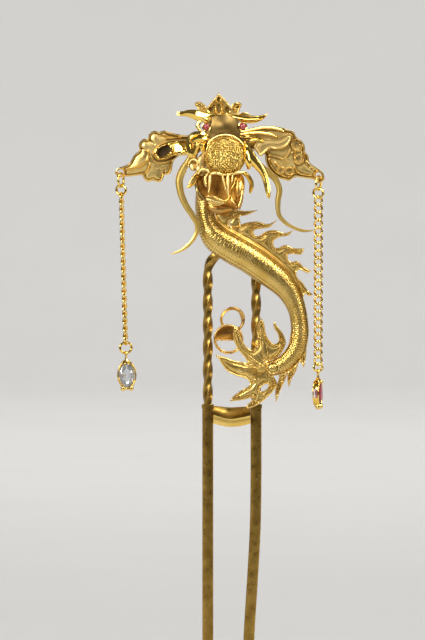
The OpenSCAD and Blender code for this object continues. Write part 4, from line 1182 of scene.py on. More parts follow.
HEAD_X = -1.6
FACE_Y = -7.0
# Columns: y, middle height, half width, half height
SKULL = [
    (-2.2, 58.6, 1.4, 1.5), (-2.8, 58.5, 2.9, 2.7), (-4.0, 58.0, 3.9, 4.0), (-5.3, 57.4, 4.1, 4.7),
    (-6.3, 57.1, 4.0, 5.0), (FACE_Y, 57.0, 3.6, 4.8)]
SKULL_SIDES, SKULL_RINGS = 96, 34
# How boxy the skull is, how many rings close its face, and how far the face is domed
SKULL_SQUARE, FACE_RINGS, FACE_DOME = 0.8, 12, 0.4
EYES = {"eye_left": (-5.1, -6.75, 60.15), "eye_right": (2.1, -6.75, 60.25)}
EYE_R = 0.75
# Bezels of the eyes: how much wider than the stone they are, and their wire
BEZEL_OFF, BEZEL_WIRE = 0.06, 0.1
# Outline of the smooth mask over the forehead and the bridge of the snout
# Columns: x, z
FOREHEAD = [
    (-4.0, 62.2), (-4.2, 61.4), (-4.25, 60.4), (-4.2, 59.6), (-4.5, 58.8), (-4.3, 57.9), (-3.5, 58.4),
    (-2.0, 58.85), (-0.4, 58.8), (0.8, 58.3), (1.9, 57.5), (2.8, 57.0), (3.4, 57.7), (2.4, 58.5),
    (1.35, 59.3), (1.15, 60.2), (1.3, 61.0), (0.9, 61.9), (-0.4, 62.3), (-2.0, 62.4)]
# Dome of the forehead: its rise, and its middle x and z, half width, half height and slant
FOREHEAD_RISE = 0.9
BROW = (-1.5, 60.3, 3.4, 2.8, 0)
# Y of the mask's front and back
FOREHEAD_Y = (FACE_Y - 0.16, FACE_Y + 0.6)
# Crease over the snout, its half width and its depth
FROWN, FROWN_LINE = [(-0.7, 59.0), (-0.1, 59.25), (0.5, 58.95)], (0.18, -0.2)
# Small curl under the left horn, and the plain folds that lead from the head over the right ear
FOLDS = [
    [(-6.0, -6.9, 61.5, 0.3, 0.2), (-6.6, -6.8, 61.0, 0.42, 0.26), (-6.85, -6.8, 60.4, 0.44, 0.28),
     (-6.6, -6.9, 59.8, 0.36, 0.24), (-6.1, -7.1, 59.3, 0.16, 0.14)],
    [(1.5, -7.3, 58.2, 0.2), (2.8, -7.3, 58.2, 0.28, 0.25), (4.1, -6.8, 58.1, 0.3, 0.25),
     (5.6, -6.3, 57.75, 0.24, 0.2), (6.5, -6.1, 57.2, 0.08)],
    [(2.5, -7.3, 56.5, 0.2), (3.3, -7.3, 57.2, 0.28, 0.25), (4.2, -7.0, 57.5, 0.28, 0.25),
     (5.3, -6.6, 57.5, 0.24, 0.2), (6.4, -6.2, 57.2, 0.08)]]
# Beaded ribs that run from the right eye over the wing
RIBS = [
    [(1.6, -7.2, 59.2, 0.24), (2.9, -6.9, 59.35, 0.32, 0.26), (4.5, -6.2, 59.75, 0.34, 0.26),
     (6.3, -5.6, 60.0, 0.34, 0.24), (8.0, -5.35, 59.95, 0.32, 0.22), (9.6, -5.25, 59.6, 0.28, 0.2),
     (10.5, -5.2, 59.1, 0.1)],
    [(1.5, -7.3, 58.7, 0.22), (2.6, -7.1, 58.8, 0.3, 0.26), (4.0, -6.5, 58.95, 0.32, 0.26),
     (5.8, -6.0, 58.95, 0.32, 0.24), (7.9, -5.6, 58.6, 0.3, 0.22), (9.3, -5.4, 57.95, 0.1)]]
# Beads between the forehead and the snout: radius round the snout's middle, first and last angle, radius
# of the beads, pitch
BRIDGE_BEADS = (4.28, 34, 148, 0.19, 0.36)


def skull_rings():
    rows = along(SKULL, SKULL_RINGS)
    a = circle(SKULL_SIDES)
    c, s = squared(np.cos(a), SKULL_SQUARE), squared(np.sin(a), SKULL_SQUARE)
    rings = [columns(HEAD_X + w * c, y, z + h * s) for y, z, w, h in rows]
    _, z, w, h = rows[-1]
    for f in np.linspace(1, 0.03, FACE_RINGS)[1:]:
        rings.append(columns(HEAD_X + w * c * f, FACE_Y - FACE_DOME * (1 - f * f), z + h * s * f))
    return np.array(rings)


def hoop(middle, r, wire, start=0, end=360, step=6):
    """Ring or arc of wire that faces forward."""
    a = np.radians(np.arange(start, end + 0.01, step))
    rows = with_depth(columns(*arc(*middle, r, a).T, wire))
    if end - start < 360:
        return skin(sweep(rounded(np.array(rows), wire), 8))
    return skin(sweep(np.array([rows[-2], *rows, rows[1]]), 8)[1:-2], looped=True)


def arc_of_beads(x, y, z, r, start, end, radius, pitch):
    a = np.radians(np.arange(start, end, math.degrees(pitch / r)))
    return balls(arc(x, y, z, r, a), radius)


def brow_height(gap, points):
    """Forehead: a broad dome that runs out flat at its edges."""
    return FOREHEAD_RISE * np.clip(1 - in_oval(points, *BROW) ** 2, 0, 1) ** 2


def skull():
    mask = Relief([drawn(FOREHEAD)], grid=0.2, swell=brow_height)
    mask.lines([FROWN], *FROWN_LINE)
    # The skull and the forehead's mask are in the darkened gold, which paints their shade
    piece("skull_gold", [skin(skull_rings()), mask.solid(*FOREHEAD_Y)], FOREHEAD_SHADE, ["skull"])
    parts = [hoop((x, FACE_Y - 0.2, z), EYE_R + BEZEL_OFF, BEZEL_WIRE) for x, _, z in EYES.values()]
    for table in RIBS:
        parts += [strand(table), beaded(table, pitch=0.36, radius=0.16, deep=0.85)]
    parts.append(beaded(FOLDS[0], pitch=0.3, radius=0.15))
    parts.append(arc_of_beads(MUZZLE[0], FACE_Y - 0.5, MUZZLE[1], *BRIDGE_BEADS))
    parts += strands(FOLDS, sides=12)
    piece("brow_gold", parts, POLISHED)


def eye(node):
    x, y, z = EYES[node]
    tilt = np.radians(np.linspace(4, 176, 20))[:, None]
    turn = np.radians(np.arange(0, 360, 12))
    ring = columns(x + EYE_R * (np.sin(tilt) * np.cos(turn)), y - EYE_R * np.cos(tilt),
                   z + EYE_R * (np.sin(tilt) * np.sin(turn)))
    piece(node + "_stone", [skin(ring)], EYE, [node], slot="red_stone")


# Snout: middle x and z, radius, rise, base in Y, how far below its middle it is cut off
MUZZLE = (-1.4, 54.3)
MUZZLE_R = 3.8
MUZZLE_RISE = 3.1
MUZZLE_BASE_Y = FACE_Y - 0.1
MUZZLE_CUT = 3.4
# Grains: pitch, how much they stray, share of big ones; radius and rise of the big and of the small ones
GRAIN_PITCH, GRAIN_STRAY, GRAIN_SHARE = 0.5, 0.045, 0.4
BIG_GRAIN, SMALL_GRAIN = (0.26, 0.24), (0.22, 0.18)
# Ring over the nostril: place on the disc, radius, room that it takes, half width and rise of its line
NOSTRIL, NOSTRIL_R, NOSTRIL_ROOM, NOSTRIL_LINE = (2.35, -0.2), 0.36, 0.62, (0.15, 0.2)
# Wires round the snout: distance before its base, what they add to its radius, their own radius, first and
# last angle
MUZZLE_WIRES = [(0.15, 0.1, 0.18, 0, 360), (1.1, -0.36, 0.17, 12, 168)]


def muzzle():
    """Snout dome covered with grains. Its relief is drawn on a flat disc that is then laid over a ball."""
    ball = (MUZZLE_R ** 2 + MUZZLE_RISE ** 2) / (2 * MUZZLE_RISE)
    reach = ball * math.acos(1 - MUZZLE_RISE / ball)
    a = circle(120)
    relief = Relief([reach * columns(np.cos(a), np.sin(a))], grid=0.3)
    x, z = MUZZLE
    top_y = MUZZLE_BASE_Y - MUZZLE_RISE

    def laid(points, y):
        r = np.maximum(np.linalg.norm(points, axis=1), 1e-6)
        away = points / r[:, None]
        tilt = r / ball
        up = ball - np.minimum(y, 0)
        over = columns(x + away[:, 0] * up * np.sin(tilt), top_y + ball - up * np.cos(tilt),
                       z + away[:, 1] * up * np.sin(tilt))
        under = over.copy()
        under[:, 1] = MUZZLE_BASE_Y
        share = np.clip(y, 0, 1)[:, None]
        return over * (1 - share) + under * share

    k = np.arange(int(reach ** 2 * math.pi / (GRAIN_PITCH ** 2 * ROW_SHARE)))
    r = (GRAIN_PITCH * 0.525) * np.sqrt(k + 0.5)
    turn = k * math.pi * (3 - math.sqrt(5))
    grains = columns(r * np.cos(turn), r * np.sin(turn))
    grains += RANDOM.normal(0, GRAIN_STRAY, grains.shape)
    clear = np.linalg.norm(grains - NOSTRIL, axis=1)
    grains = grains[(r < reach - 0.35) & (clear > NOSTRIL_ROOM)]
    big = RANDOM.random(len(grains)) < GRAIN_SHARE
    relief.dome(grains[big], *BIG_GRAIN)
    relief.dome(grains[~big], *SMALL_GRAIN)
    relief.lines([scroll(*NOSTRIL, NOSTRIL_R, NOSTRIL_R, 0, 350)], *NOSTRIL_LINE)
    parts = [relief.solid(0, 1, bevel=0.05, at=laid)]
    for before, wider, wire, start, end in MUZZLE_WIRES:
        middle = (x, MUZZLE_BASE_Y - before, z)
        parts.append(hoop(middle, MUZZLE_R + wider, wire, start, end, step=4))
    for part in parts:
        part[0][:, 2] = np.maximum(part[0][:, 2], z - MUZZLE_CUT)
    piece("muzzle_gold", parts, GRANULATED, ["muzzle"], sharp=60)


# Columns: z, middle x, half width, back y, rim y
JAW = [
    (51.2, -2.5, 4.1, -5.6, -7.1), (50.6, -2.65, 4.7, -5.65, -7.35), (49.4, -2.7, 4.9, -5.8, -7.7),
    (47.4, -2.4, 4.7, -6.0, -8.0), (45.8, -1.8, 4.0, -6.4, -8.2), (44.7, -0.8, 2.7, -6.9, -8.4),
    (43.8, 0.9, 0.7, -7.9, -8.7)]
JAW_RINGS = 70
# Thickness of the wall, the most of the half width that it takes, and the share of it that is plain gold; the
# rest, inside the mouth, is brown gold that paints its shade
JAW_WALL, JAW_WALL_SHARE, JAW_UNSHADED_SHARE = 0.5, 0.6, 0.6
JAW_ARC = np.radians(np.linspace(180, 0, 25))

# Strands of oval section
# Columns: x, y, z, half width, half depth, which is the half width where it is left out
THROAT = [
    (-4.6, -6.0, 44.9, 0.5, 0.6), (-3.8, -6.1, 44.2, 0.9), (-2.6, -6.2, 43.9, 1.0),
    (-1.2, -6.4, 43.95, 0.8, 0.9), (0.2, -6.9, 44.1, 0.4, 0.6)]
JAW_FOLDS = [
    [(2.2, -8.0, 50.4, 0.15), (2.25, -8.3, 48.6, 0.22, 0.2), (2.0, -8.6, 46.9, 0.28, 0.25),
     (1.75, -8.75, 45.5, 0.3, 0.25), (1.15, -8.85, 44.2, 0.2)],
    [(-0.2, -8.3, 46.4, 0.1), (-0.1, -8.5, 45.7, 0.24, 0.2), (0.4, -8.7, 44.9, 0.24, 0.2),
     (1.0, -8.8, 44.2, 0.16)],
    [(-7.2, -7.3, 49.6, 0.2), (-7.0, -7.7, 47.9, 0.3, 0.25), (-6.5, -7.9, 46.4, 0.3, 0.25),
     (-5.6, -8.0, 45.4, 0.2)]]
# Rounded lobe inside the jaw's right wall
JAW_LOBE = [
    (1.5, -7.8, 51.0, 0.3), (1.5, -8.1, 49.8, 0.8, 0.5), (1.45, -8.35, 48.3, 0.92, 0.5),
    (1.4, -8.45, 47.0, 0.75, 0.4), (1.3, -8.5, 46.1, 0.25)]
TONGUE = [
    [(-5.3, -8.0, 46.0, 0.2), (-4.2, -8.1, 45.6, 0.6, 0.35), (-3.0, -8.2, 45.3, 0.62, 0.35),
     (-1.9, -8.3, 45.2, 0.36, 0.3), (-1.2, -8.4, 45.3, 0.12)],
    [(-5.4, -8.1, 46.3, 0.12), (-4.6, -8.4, 46.45, 0.2), (-3.7, -8.5, 46.3, 0.22, 0.2),
     (-2.5, -8.6, 45.75, 0.22, 0.2), (-1.2, -8.6, 45.4, 0.18)],
    [(-4.9, -8.1, 45.3, 0.1), (-4.0, -8.4, 44.75, 0.18), (-2.8, -8.5, 44.7, 0.18), (-1.9, -8.5, 45.0, 0.1)]]
# Upper lip: three arches that end in the fringe
LIP = [
    [(-6.9, -8.0, 50.7, 0.3), (-6.4, -8.2, 51.5, 0.34), (-5.7, -8.4, 51.8, 0.36), (-4.9, -8.6, 51.5, 0.34),
     (-4.5, -8.7, 50.9, 0.3)],
    [(-4.4, -8.7, 50.8, 0.3), (-3.2, -8.95, 51.05, 0.36), (-2.0, -9.05, 50.7, 0.3), (-1.0, -9.1, 50.75, 0.3),
     (-0.1, -9.05, 50.8, 0.3)],
    [(-0.1, -9.0, 50.7, 0.3), (0.9, -8.95, 51.1, 0.36), (2.0, -8.7, 51.15, 0.38), (2.7, -8.8, 50.7, 0.4)]]
FRINGE_BEADED = [
    [(-6.9, -7.9, 51.3, 0.2), (-7.8, -8.1, 50.2, 0.24, 0.22), (-8.4, -8.2, 49.1, 0.22, 0.2),
     (-8.8, -8.2, 48.3, 0.1)],
    [(-4.9, -8.6, 51.0, 0.3), (-5.35, -8.8, 49.9, 0.34, 0.3), (-5.3, -8.9, 48.9, 0.3, 0.26),
     (-5.1, -8.9, 48.2, 0.1)],
    [(-4.4, -8.8, 50.8, 0.3), (-4.4, -9.0, 49.6, 0.36, 0.3), (-4.55, -9.0, 48.4, 0.32, 0.26),
     (-4.7, -9.0, 47.0, 0.08)],
    [(-2.0, -9.0, 50.6, 0.25), (-1.75, -9.2, 49.6, 0.28, 0.25), (-1.45, -9.3, 48.4, 0.24, 0.22),
     (-1.1, -9.3, 46.9, 0.08)],
    [(-0.9, -9.2, 50.7, 0.3), (-0.85, -9.5, 49.4, 0.34, 0.32), (-0.85, -9.6, 48.0, 0.32, 0.3),
     (-0.75, -9.5, 46.1, 0.08)],
    [(0.1, -9.0, 50.7, 0.22), (0.0, -9.2, 49.9, 0.24, 0.22), (-0.2, -9.2, 48.9, 0.1)]]
FRINGE_SMOOTH = [
    [(-6.5, -8.1, 51.0, 0.25), (-7.2, -8.4, 50.2, 0.4, 0.35), (-7.6, -8.5, 49.2, 0.38, 0.3),
     (-8.2, -8.4, 48.5, 0.3, 0.25), (-9.2, -8.3, 48.0, 0.08)],
    [(2.0, -8.7, 51.1, 0.36), (2.8, -8.9, 50.7, 0.44, 0.42), (3.5, -9.0, 49.8, 0.48, 0.44),
     (3.85, -9.0, 48.7, 0.46, 0.42), (3.7, -9.0, 47.7, 0.38, 0.35), (3.5, -9.0, 46.9, 0.16, 0.15)],
    [(0.75, -8.6, 50.3, 0.14), (0.55, -8.8, 49.0, 0.22, 0.2), (0.1, -8.9, 48.0, 0.24, 0.2),
     (-0.25, -8.8, 46.8, 0.22, 0.2), (-0.8, -8.7, 45.8, 0.2), (-1.7, -8.5, 45.1, 0.15)]]
# Flesh between the snout and the left whisker, and the small curl on it
BEARD_ROOT = [
    [(-5.3, -6.3, 55.2, 0.3), (-5.8, -6.5, 54.2, 0.75, 0.5), (-6.2, -6.7, 53.1, 1.0, 0.55),
     (-6.4, -6.9, 52.1, 1.0, 0.55), (-6.1, -7.2, 51.2, 0.9, 0.45), (-5.7, -7.5, 50.5, 0.4, 0.3)],
    [(-7.0, -6.0, 55.0, 0.3), (-7.6, -6.2, 54.0, 0.7, 0.45), (-7.9, -6.4, 53.0, 0.75, 0.45),
     (-7.8, -6.7, 52.1, 0.65, 0.4), (-7.5, -7.0, 51.4, 0.25)]]
BEARD_CURL = [
    (-8.7, -7.0, 52.2, 0.1), (-8.5, -7.1, 53.1, 0.24, 0.22), (-7.8, -7.2, 53.7, 0.28, 0.24),
    (-7.1, -7.3, 53.4, 0.26, 0.22), (-6.9, -7.4, 52.7, 0.22, 0.2), (-7.3, -7.5, 52.2, 0.1)]
CHEEKS = {
    "cheek_left": [
        [(-4.7, -7.2, 58.3, 0.25), (-5.8, -7.35, 58.65, 0.5, 0.42), (-6.8, -7.35, 58.75, 0.55, 0.45),
         (-7.8, -7.25, 58.45, 0.58, 0.45), (-8.4, -7.1, 57.7, 0.6, 0.45), (-8.6, -7.0, 56.6, 0.6, 0.45),
         (-8.35, -7.05, 55.5, 0.62, 0.45), (-7.95, -7.1, 54.7, 0.62, 0.45), (-7.7, -7.0, 53.9, 0.2)],
        [(-4.5, -7.6, 57.7, 0.3), (-5.6, -7.8, 57.8, 0.52, 0.46), (-6.6, -7.8, 57.8, 0.56, 0.46),
         (-7.5, -7.6, 57.5, 0.4, 0.35), (-8.1, -7.4, 57.0, 0.15)],
        [(-6.4, -7.7, 57.4, 0.35, 0.3), (-6.95, -7.65, 56.5, 0.5, 0.4), (-7.3, -7.5, 55.6, 0.48, 0.38),
         (-7.55, -7.4, 54.8, 0.4, 0.32), (-7.7, -7.3, 54.1, 0.12)],
        [(-5.4, -7.6, 57.5, 0.35, 0.3), (-5.95, -7.75, 56.8, 0.5, 0.4), (-5.9, -7.75, 56.0, 0.4, 0.34),
         (-5.8, -7.7, 55.2, 0.22, 0.2), (-5.75, -7.65, 54.7, 0.07)],
        [(-8.5, -7.0, 54.8, 0.34, 0.3), (-9.2, -6.9, 55.2, 0.32, 0.28), (-9.8, -6.8, 55.1, 0.24, 0.2),
         (-10.1, -6.8, 54.7, 0.08)]],
    "cheek_right": [
        [(2.9, -7.3, 57.7, 0.3), (2.95, -7.5, 56.4, 0.6, 0.5), (3.35, -7.6, 55.0, 0.95, 0.6),
         (4.2, -7.6, 53.6, 1.0, 0.6), (5.15, -7.5, 52.4, 0.85, 0.5), (6.0, -7.4, 51.2, 0.68, 0.45),
         (6.6, -7.35, 49.8, 0.6, 0.4), (6.95, -7.3, 48.2, 0.55, 0.35), (7.2, -7.25, 46.8, 0.42, 0.3),
         (7.35, -7.2, 45.9, 0.12)],
        [(2.6, -7.5, 56.8, 0.3, 0.4), (2.85, -7.8, 55.3, 0.6, 0.55), (3.0, -7.9, 54.0, 0.7, 0.55),
         (3.25, -7.8, 52.8, 0.58, 0.45), (3.3, -7.6, 51.7, 0.25)]]}
CHEEK_BEADS = CHEEKS["cheek_right"][0][2:]
# Knots of the cheeks: x, y, z, radius
CHEEK_KNOTS = {
    "cheek_left": [(-4.7, -7.6, 57.6, 0.34), (-4.5, -7.8, 56.8, 0.26), (-5.0, -7.7, 58.5, 0.26)],
    "cheek_right": [(2.5, -7.7, 57.1, 0.26)]}
WHISKERS = {
    "whisker_left": [
        (-7.2, -6.3, 56.4, 0.35, 0.3), (-8.0, -6.4, 54.9, 0.45, 0.35), (-8.9, -6.6, 53.2, 0.56, 0.38),
        (-9.8, -6.8, 51.6, 0.75, 0.4), (-10.5, -7.0, 49.6, 0.75, 0.4), (-10.2, -7.0, 47.0, 0.7, 0.4),
        (-9.2, -6.9, 44.6, 0.65, 0.4), (-7.9, -6.7, 42.6, 0.6, 0.4), (-7.0, -6.5, 40.8, 0.5, 0.35),
        (-7.1, -6.3, 39.0, 0.45, 0.35), (-8.4, -6.2, 37.0, 0.4, 0.3), (-10.2, -6.2, 35.6, 0.3, 0.25),
        (-12.2, -6.2, 34.9, 0.08)],
    "whisker_right": [
        (3.6, -6.5, 54.0, 0.35, 0.3), (4.8, -6.5, 53.2, 0.42, 0.32), (5.9, -6.5, 52.4, 0.48, 0.34),
        (7.2, -6.4, 51.0, 0.58, 0.35), (8.6, -6.3, 49.7, 0.6, 0.35), (9.4, -6.3, 47.7, 0.6, 0.35),
        (9.1, -6.3, 45.2, 0.55, 0.35), (9.3, -6.2, 42.8, 0.45, 0.3), (10.4, -6.1, 41.3, 0.4, 0.3),
        (12.1, -6.0, 40.2, 0.35, 0.25), (14.2, -5.9, 39.5, 0.3, 0.2), (16.2, -5.8, 39.6, 0.08)]}
HORNS = {
    "horn_left": [
        [(-2.9, -6.6, 62.5, 0.28, 0.3), (-3.8, -6.6, 62.3, 0.55, 0.45), (-4.9, -6.75, 62.0, 0.92, 0.55),
         (-6.2, -6.8, 62.2, 1.02, 0.6), (-7.4, -6.8, 62.6, 0.98, 0.6), (-8.6, -6.7, 62.85, 0.74, 0.5),
         (-9.6, -6.5, 62.8, 0.52, 0.4), (-10.4, -6.4, 62.75, 0.48, 0.38), (-11.0, -6.4, 62.75, 0.3)],
        [(-6.6, -6.9, 62.4, 0.6, 0.5), (-5.7, -7.05, 61.8, 0.62, 0.5), (-5.0, -7.15, 61.3, 0.48, 0.42),
         (-4.6, -7.15, 60.9, 0.2)]],
    "horn_right": [
        [(-0.4, -6.6, 62.4, 0.22, 0.3), (0.8, -6.65, 62.15, 0.4), (2.0, -6.8, 61.95, 0.52, 0.45),
         (3.6, -6.85, 61.85, 0.56, 0.45), (5.0, -6.8, 61.9, 0.5, 0.4), (6.0, -6.6, 62.15, 0.38, 0.32),
         (6.7, -6.5, 62.45, 0.22, 0.2), (7.1, -6.4, 62.75, 0.08)],
        [(0.6, -6.8, 61.6, 0.1), (2.0, -7.0, 61.3, 0.24, 0.22), (3.4, -7.05, 61.15, 0.3, 0.26),
         (4.7, -7.0, 61.25, 0.28, 0.24), (5.8, -6.8, 61.65, 0.2, 0.18), (6.6, -6.6, 62.2, 0.07)]]}
HORN_BEADS = [
    (-0.1, -6.85, 62.2, 0.3), (2.0, -7.0, 61.75, 0.3), (3.6, -7.05, 61.6, 0.3), (5.6, -6.9, 61.85, 0.25)]
# Middle of the left horn's knob, which is a flower of seven beads, and how far its petals stand from it
HORN_KNOB, PETALS_R = (-10.65, -6.45, 62.75), 0.3
# How far its petals and its heart stand before that middle, and the radius of the beads
PETALS_PROUD, HEART_PROUD, KNOB_BEAD = 0.22, 0.36, 0.15
# Engraving of the whiskers: pitch of the rungs, length over which they fade, half of the angle that they take
LADDER_PITCH, LADDER_LENGTH, LADDER_HALF = 0.3, 15, 44
RUNG_DEPTH, LADDER_EDGE = 0.03, 0.09
# Angle round a strand at which it faces forward
FRONT = 270
WHISKER_STEP = 0.085


def ladder(s, a):
    """Engraved rungs between two raised edges, which fade out along the front of a whisker."""
    from_front = np.abs(a - FRONT)
    fade = np.clip(1.4 - s / LADDER_LENGTH, 0, 1)
    rungs = -RUNG_DEPTH * fade * (0.5 + 0.5 * np.cos(2 * np.pi * s / LADDER_PITCH)) ** 2
    edge = LADDER_EDGE * (0.4 + 0.6 * fade) * bell(from_front - LADDER_HALF - 10, 12)
    return np.where(from_front < LADDER_HALF, rungs - RUNG_DEPTH * fade, 0) + edge


def keeled(s, a):
    """Sharp ridge along the front of a leaf-shaped strand, between two shallow hollows."""
    from_front = np.abs(a - FRONT)
    return 0.14 * bell(from_front, 10) - 0.06 * bell(from_front - 36, 18)


def swollen(s, a):
    """Soft lengthways folds of the cheeks."""
    return 0.05 * np.cos(np.radians(a - FRONT) * 5)


def jaw_wall(near, far):
    """Part of the jaw's wall between two shares of its thickness: 0 is the outer face, 1 the inner one."""
    rings = []
    c, s = np.cos(JAW_ARC), np.sin(JAW_ARC)
    for z, x, w, back, rim in along(JAW, JAW_RINGS):
        wall = min(JAW_WALL, w * JAW_WALL_SHARE)
        y = back + (rim - back) * (1 - s)
        outer, inner = (columns(x + (w - wall * f) * c, y - wall * f * s, z) for f in (near, far))
        rings.append(np.vstack([outer, inner[::-1]]))
    return skin(np.array(rings))


def jaw():
    parts = [jaw_wall(0, JAW_UNSHADED_SHARE), *strands(JAW_FOLDS, sides=12), strand(JAW_LOBE, sides=20, lift=keeled)]
    piece("jaw_gold", parts, WARM, ["jaw"])
    # Inner face of the jaw's wall and the throat in brown gold: painted shade inside the mouth
    piece("jaw_painted_shade", [jaw_wall(JAW_UNSHADED_SHARE, 1), strand(THROAT, sides=24)], BROWN_PAINTED_SHADE)


def lip_fringe():
    parts = []
    for table in LIP:
        parts += [strand(table, sides=12), beaded(table, pitch=0.31, radius=0.14)]
    for table in FRINGE_BEADED:
        parts += [strand(table, sides=12), beaded(table, pitch=0.32, radius=0.15, deep=0.85)]
    piece("lip_fringe_gold", parts, CHASED, ["lip_fringe"])
    piece("lip_fringe_smooth", strands(FRINGE_SMOOTH, sides=20, lift=keeled), POLISHED)


def tongue():
    parts = [*strands(TONGUE, sides=14), beaded(TONGUE[0], pitch=0.36, radius=0.14)]
    piece("tongue_gold", parts, CHASED, ["tongue"])


def cheek(node):
    parts = strands(CHEEKS[node], sides=20, lift=swollen)
    knots = np.array(CHEEK_KNOTS[node])
    parts.append(balls(knots[:, :3], knots[:, 3], sides=14, rings=7))
    if node == "cheek_right":
        parts.append(beaded(CHEEK_BEADS, pitch=0.34, radius=0.13, side=-0.72))
    piece(node + "_gold", parts, POLISHED, [node])


def beard_root():
    parts = [*strands(BEARD_ROOT, sides=20), strand(BEARD_CURL, sides=12),
             beaded(BEARD_CURL, pitch=0.3, radius=0.13)]
    piece("beard_root_gold", parts, SATIN)


def whisker(node):
    parts = [strand(WHISKERS[node], sides=28, step=WHISKER_STEP, lift=ladder)]
    piece(node + "_gold", parts, COMBED, [node])


def horn(node):
    parts = strands(HORNS[node], sides=24, lift=keeled)
    if node == "horn_right":
        parts.append(beaded(HORN_BEADS, pitch=0.3, radius=0.14, deep=0.8))
    else:
        turn = np.radians(np.arange(0, 360, 60))
        x, y, z = HORN_KNOB
        beads = [arc(x, y - PETALS_PROUD, z, PETALS_R, turn), [(x, y - HEART_PROUD, z)]]
        parts.append(balls(np.vstack(beads), KNOB_BEAD))
    piece(node + "_gold", parts, POLISHED, [node])


# Shell-shaped curl at the crest's right, and the petals that lie over the roots of the horns
CREST_LEAVES = [
    [(0.9, -5.1, 62.9, 0.25), (0.45, -5.3, 63.5, 0.4, 0.3), (0.25, -5.4, 64.1, 0.48, 0.32),
     (0.75, -5.45, 64.6, 0.42, 0.3), (1.4, -5.4, 64.6, 0.28, 0.22), (1.9, -5.3, 64.3, 0.07)],
    [(1.1, -6.0, 62.5, 0.1), (2.0, -6.1, 62.72, 0.28, 0.2), (2.9, -6.1, 62.72, 0.26, 0.2),
     (3.9, -6.0, 62.3, 0.08)],
    [(-4.2, -6.0, 62.7, 0.15), (-5.0, -5.9, 63.2, 0.3, 0.25), (-5.9, -5.6, 63.4, 0.3, 0.25),
     (-6.7, -5.3, 63.9, 0.12)]]
# Blind hollows of the crest: middle x and z, half width and half height, slant in degrees
CREST_HOLLOWS = [
    (-2.65, 63.75, 0.42, 1.15, 0), (-2.7, 65.55, 0.32, 0.6, 0), (-4.45, 63.5, 0.45, 0.7, -12),
    (-0.95, 63.5, 0.45, 0.7, 12), (1.05, 64.15, 0.45, 0.32, 30), (-3.5, 64.2, 0.2, 0.5, 12)]
# Arms of the crest's gable, which carry its nuggets, and the two stems inside it
CREST_ARMS = [
    [(-2.8, 66.5), (-3.1, 66.0), (-3.7, 65.4), (-4.3, 64.6), (-4.8, 63.9)],
    [(-2.6, 66.5), (-2.2, 66.1), (-1.55, 65.5), (-0.95, 64.8), (-0.5, 64.2)]]
CREST_STEMS = [
    [(-3.3, 62.6), (-3.3, 63.5), (-3.45, 64.2), (-3.2, 65.0), (-2.75, 65.1)],
    [(-2.0, 62.6), (-1.95, 63.5), (-1.8, 64.2), (-2.1, 65.0), (-2.65, 65.1)]]
CREST_DOTS = [(-5.6, 64.1), (-6.1, 64.5), (-6.6, 64.3), (-6.5, 64.8), (-5.5, 63.6), (-6.0, 63.9),
              (-7.0, 64.6)]
CREST_BOSSES = [(-1.9, 62.95), (-0.65, 64.75)]
# Rim: gap from the edge, half width, rise. Lines: half width, rise. Dots and bosses: radius, rise
CREST_RIM, ARM_LINE, STEM_LINE = (0.14, 0.13, 0.1), (0.26, 0.16), (0.17, 0.3)
DOT, BOSS = (0.17, 0.14), (0.3, 0.3)
CREST_DEPTH = 0.36
# Nuggets on the arms: pitch, distance before the crest's front, least radius and how much it varies
NUGGET_PITCH, NUGGET_PROUD, NUGGET_R, NUGGET_SPREAD = 0.4, 0.12, 0.19, 0.06


def pocketed(gap, points):
    """Field of the crest, sunk to the floors of its hollows."""
    low = np.min([in_oval(points, *hollow) for hollow in CREST_HOLLOWS], axis=0)
    return -CREST_DEPTH * np.clip((1 - low) / 0.3, 0, 1)


def crest():
    relief = Relief(node_loops("crest", step=0.15), grid=0.15, swell=pocketed)
    relief.rim(*CREST_RIM)
    relief.lines(CREST_ARMS, *ARM_LINE)
    relief.lines(CREST_STEMS, *STEM_LINE)
    relief.dome(CREST_DOTS, *DOT)
    relief.dome(CREST_BOSSES, *BOSS)
    parts = [relief.solid(*flat_of("crest")), *strands(CREST_LEAVES, sides=16, lift=keeled)]
    for path in CREST_ARMS:
        places = evenly(path, NUGGET_PITCH, dims=2)
        at = np.insert(places, 1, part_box("crest")[0].y / MM - NUGGET_PROUD, axis=1)
        radii = NUGGET_R + NUGGET_SPREAD * RANDOM.random(len(at))
        parts.append(balls(at, radii, sides=12, rings=6))
    piece("crest_gold", parts, CHASED, ["crest"])


# Strip that rolls up behind the tail: middle x, y and z, radius, half depth
SCROLL_STRIP = (0.15, -1.2, 21.7, 2.28, 0.5)
# Its first and last angle, the angle at which it is widest, its least half width and what it gains there
STRIP_ARC, STRIP_WIDEST, STRIP_EDGE, STRIP_SWELL = (-75, 115), 18, 0.1, 0.34
# Dark dish of painted shade in the hollow of the lower ring: middle x and z, radius, first and last angle;
# front and back in Y
SCROLL_SHADE_DISH = (-0.7, 17.75, 2.5, 2, 178)
SCROLL_SHADE_DISH_Y = (-0.36, -0.2)
# Rim of the strip's side: gap from the edge, half width, rise. Then how deep the side is dished
SCROLL_RIM, SCROLL_DISH = (0.15, 0.13, 0.06), 0.95


def scroll_strip():
    """Broad side of the upper ring, which narrows to a thin edge at both ends."""
    x, y, z, r, deep = SCROLL_STRIP
    a = np.radians(np.linspace(*STRIP_ARC, 24))
    wide = STRIP_EDGE + STRIP_SWELL * np.cos((a - math.radians(STRIP_WIDEST)) * 0.93) ** 2
    return strand(columns(*arc(x, y, z, r + 0.2 - wide, a).T, wide, deep), sides=16)


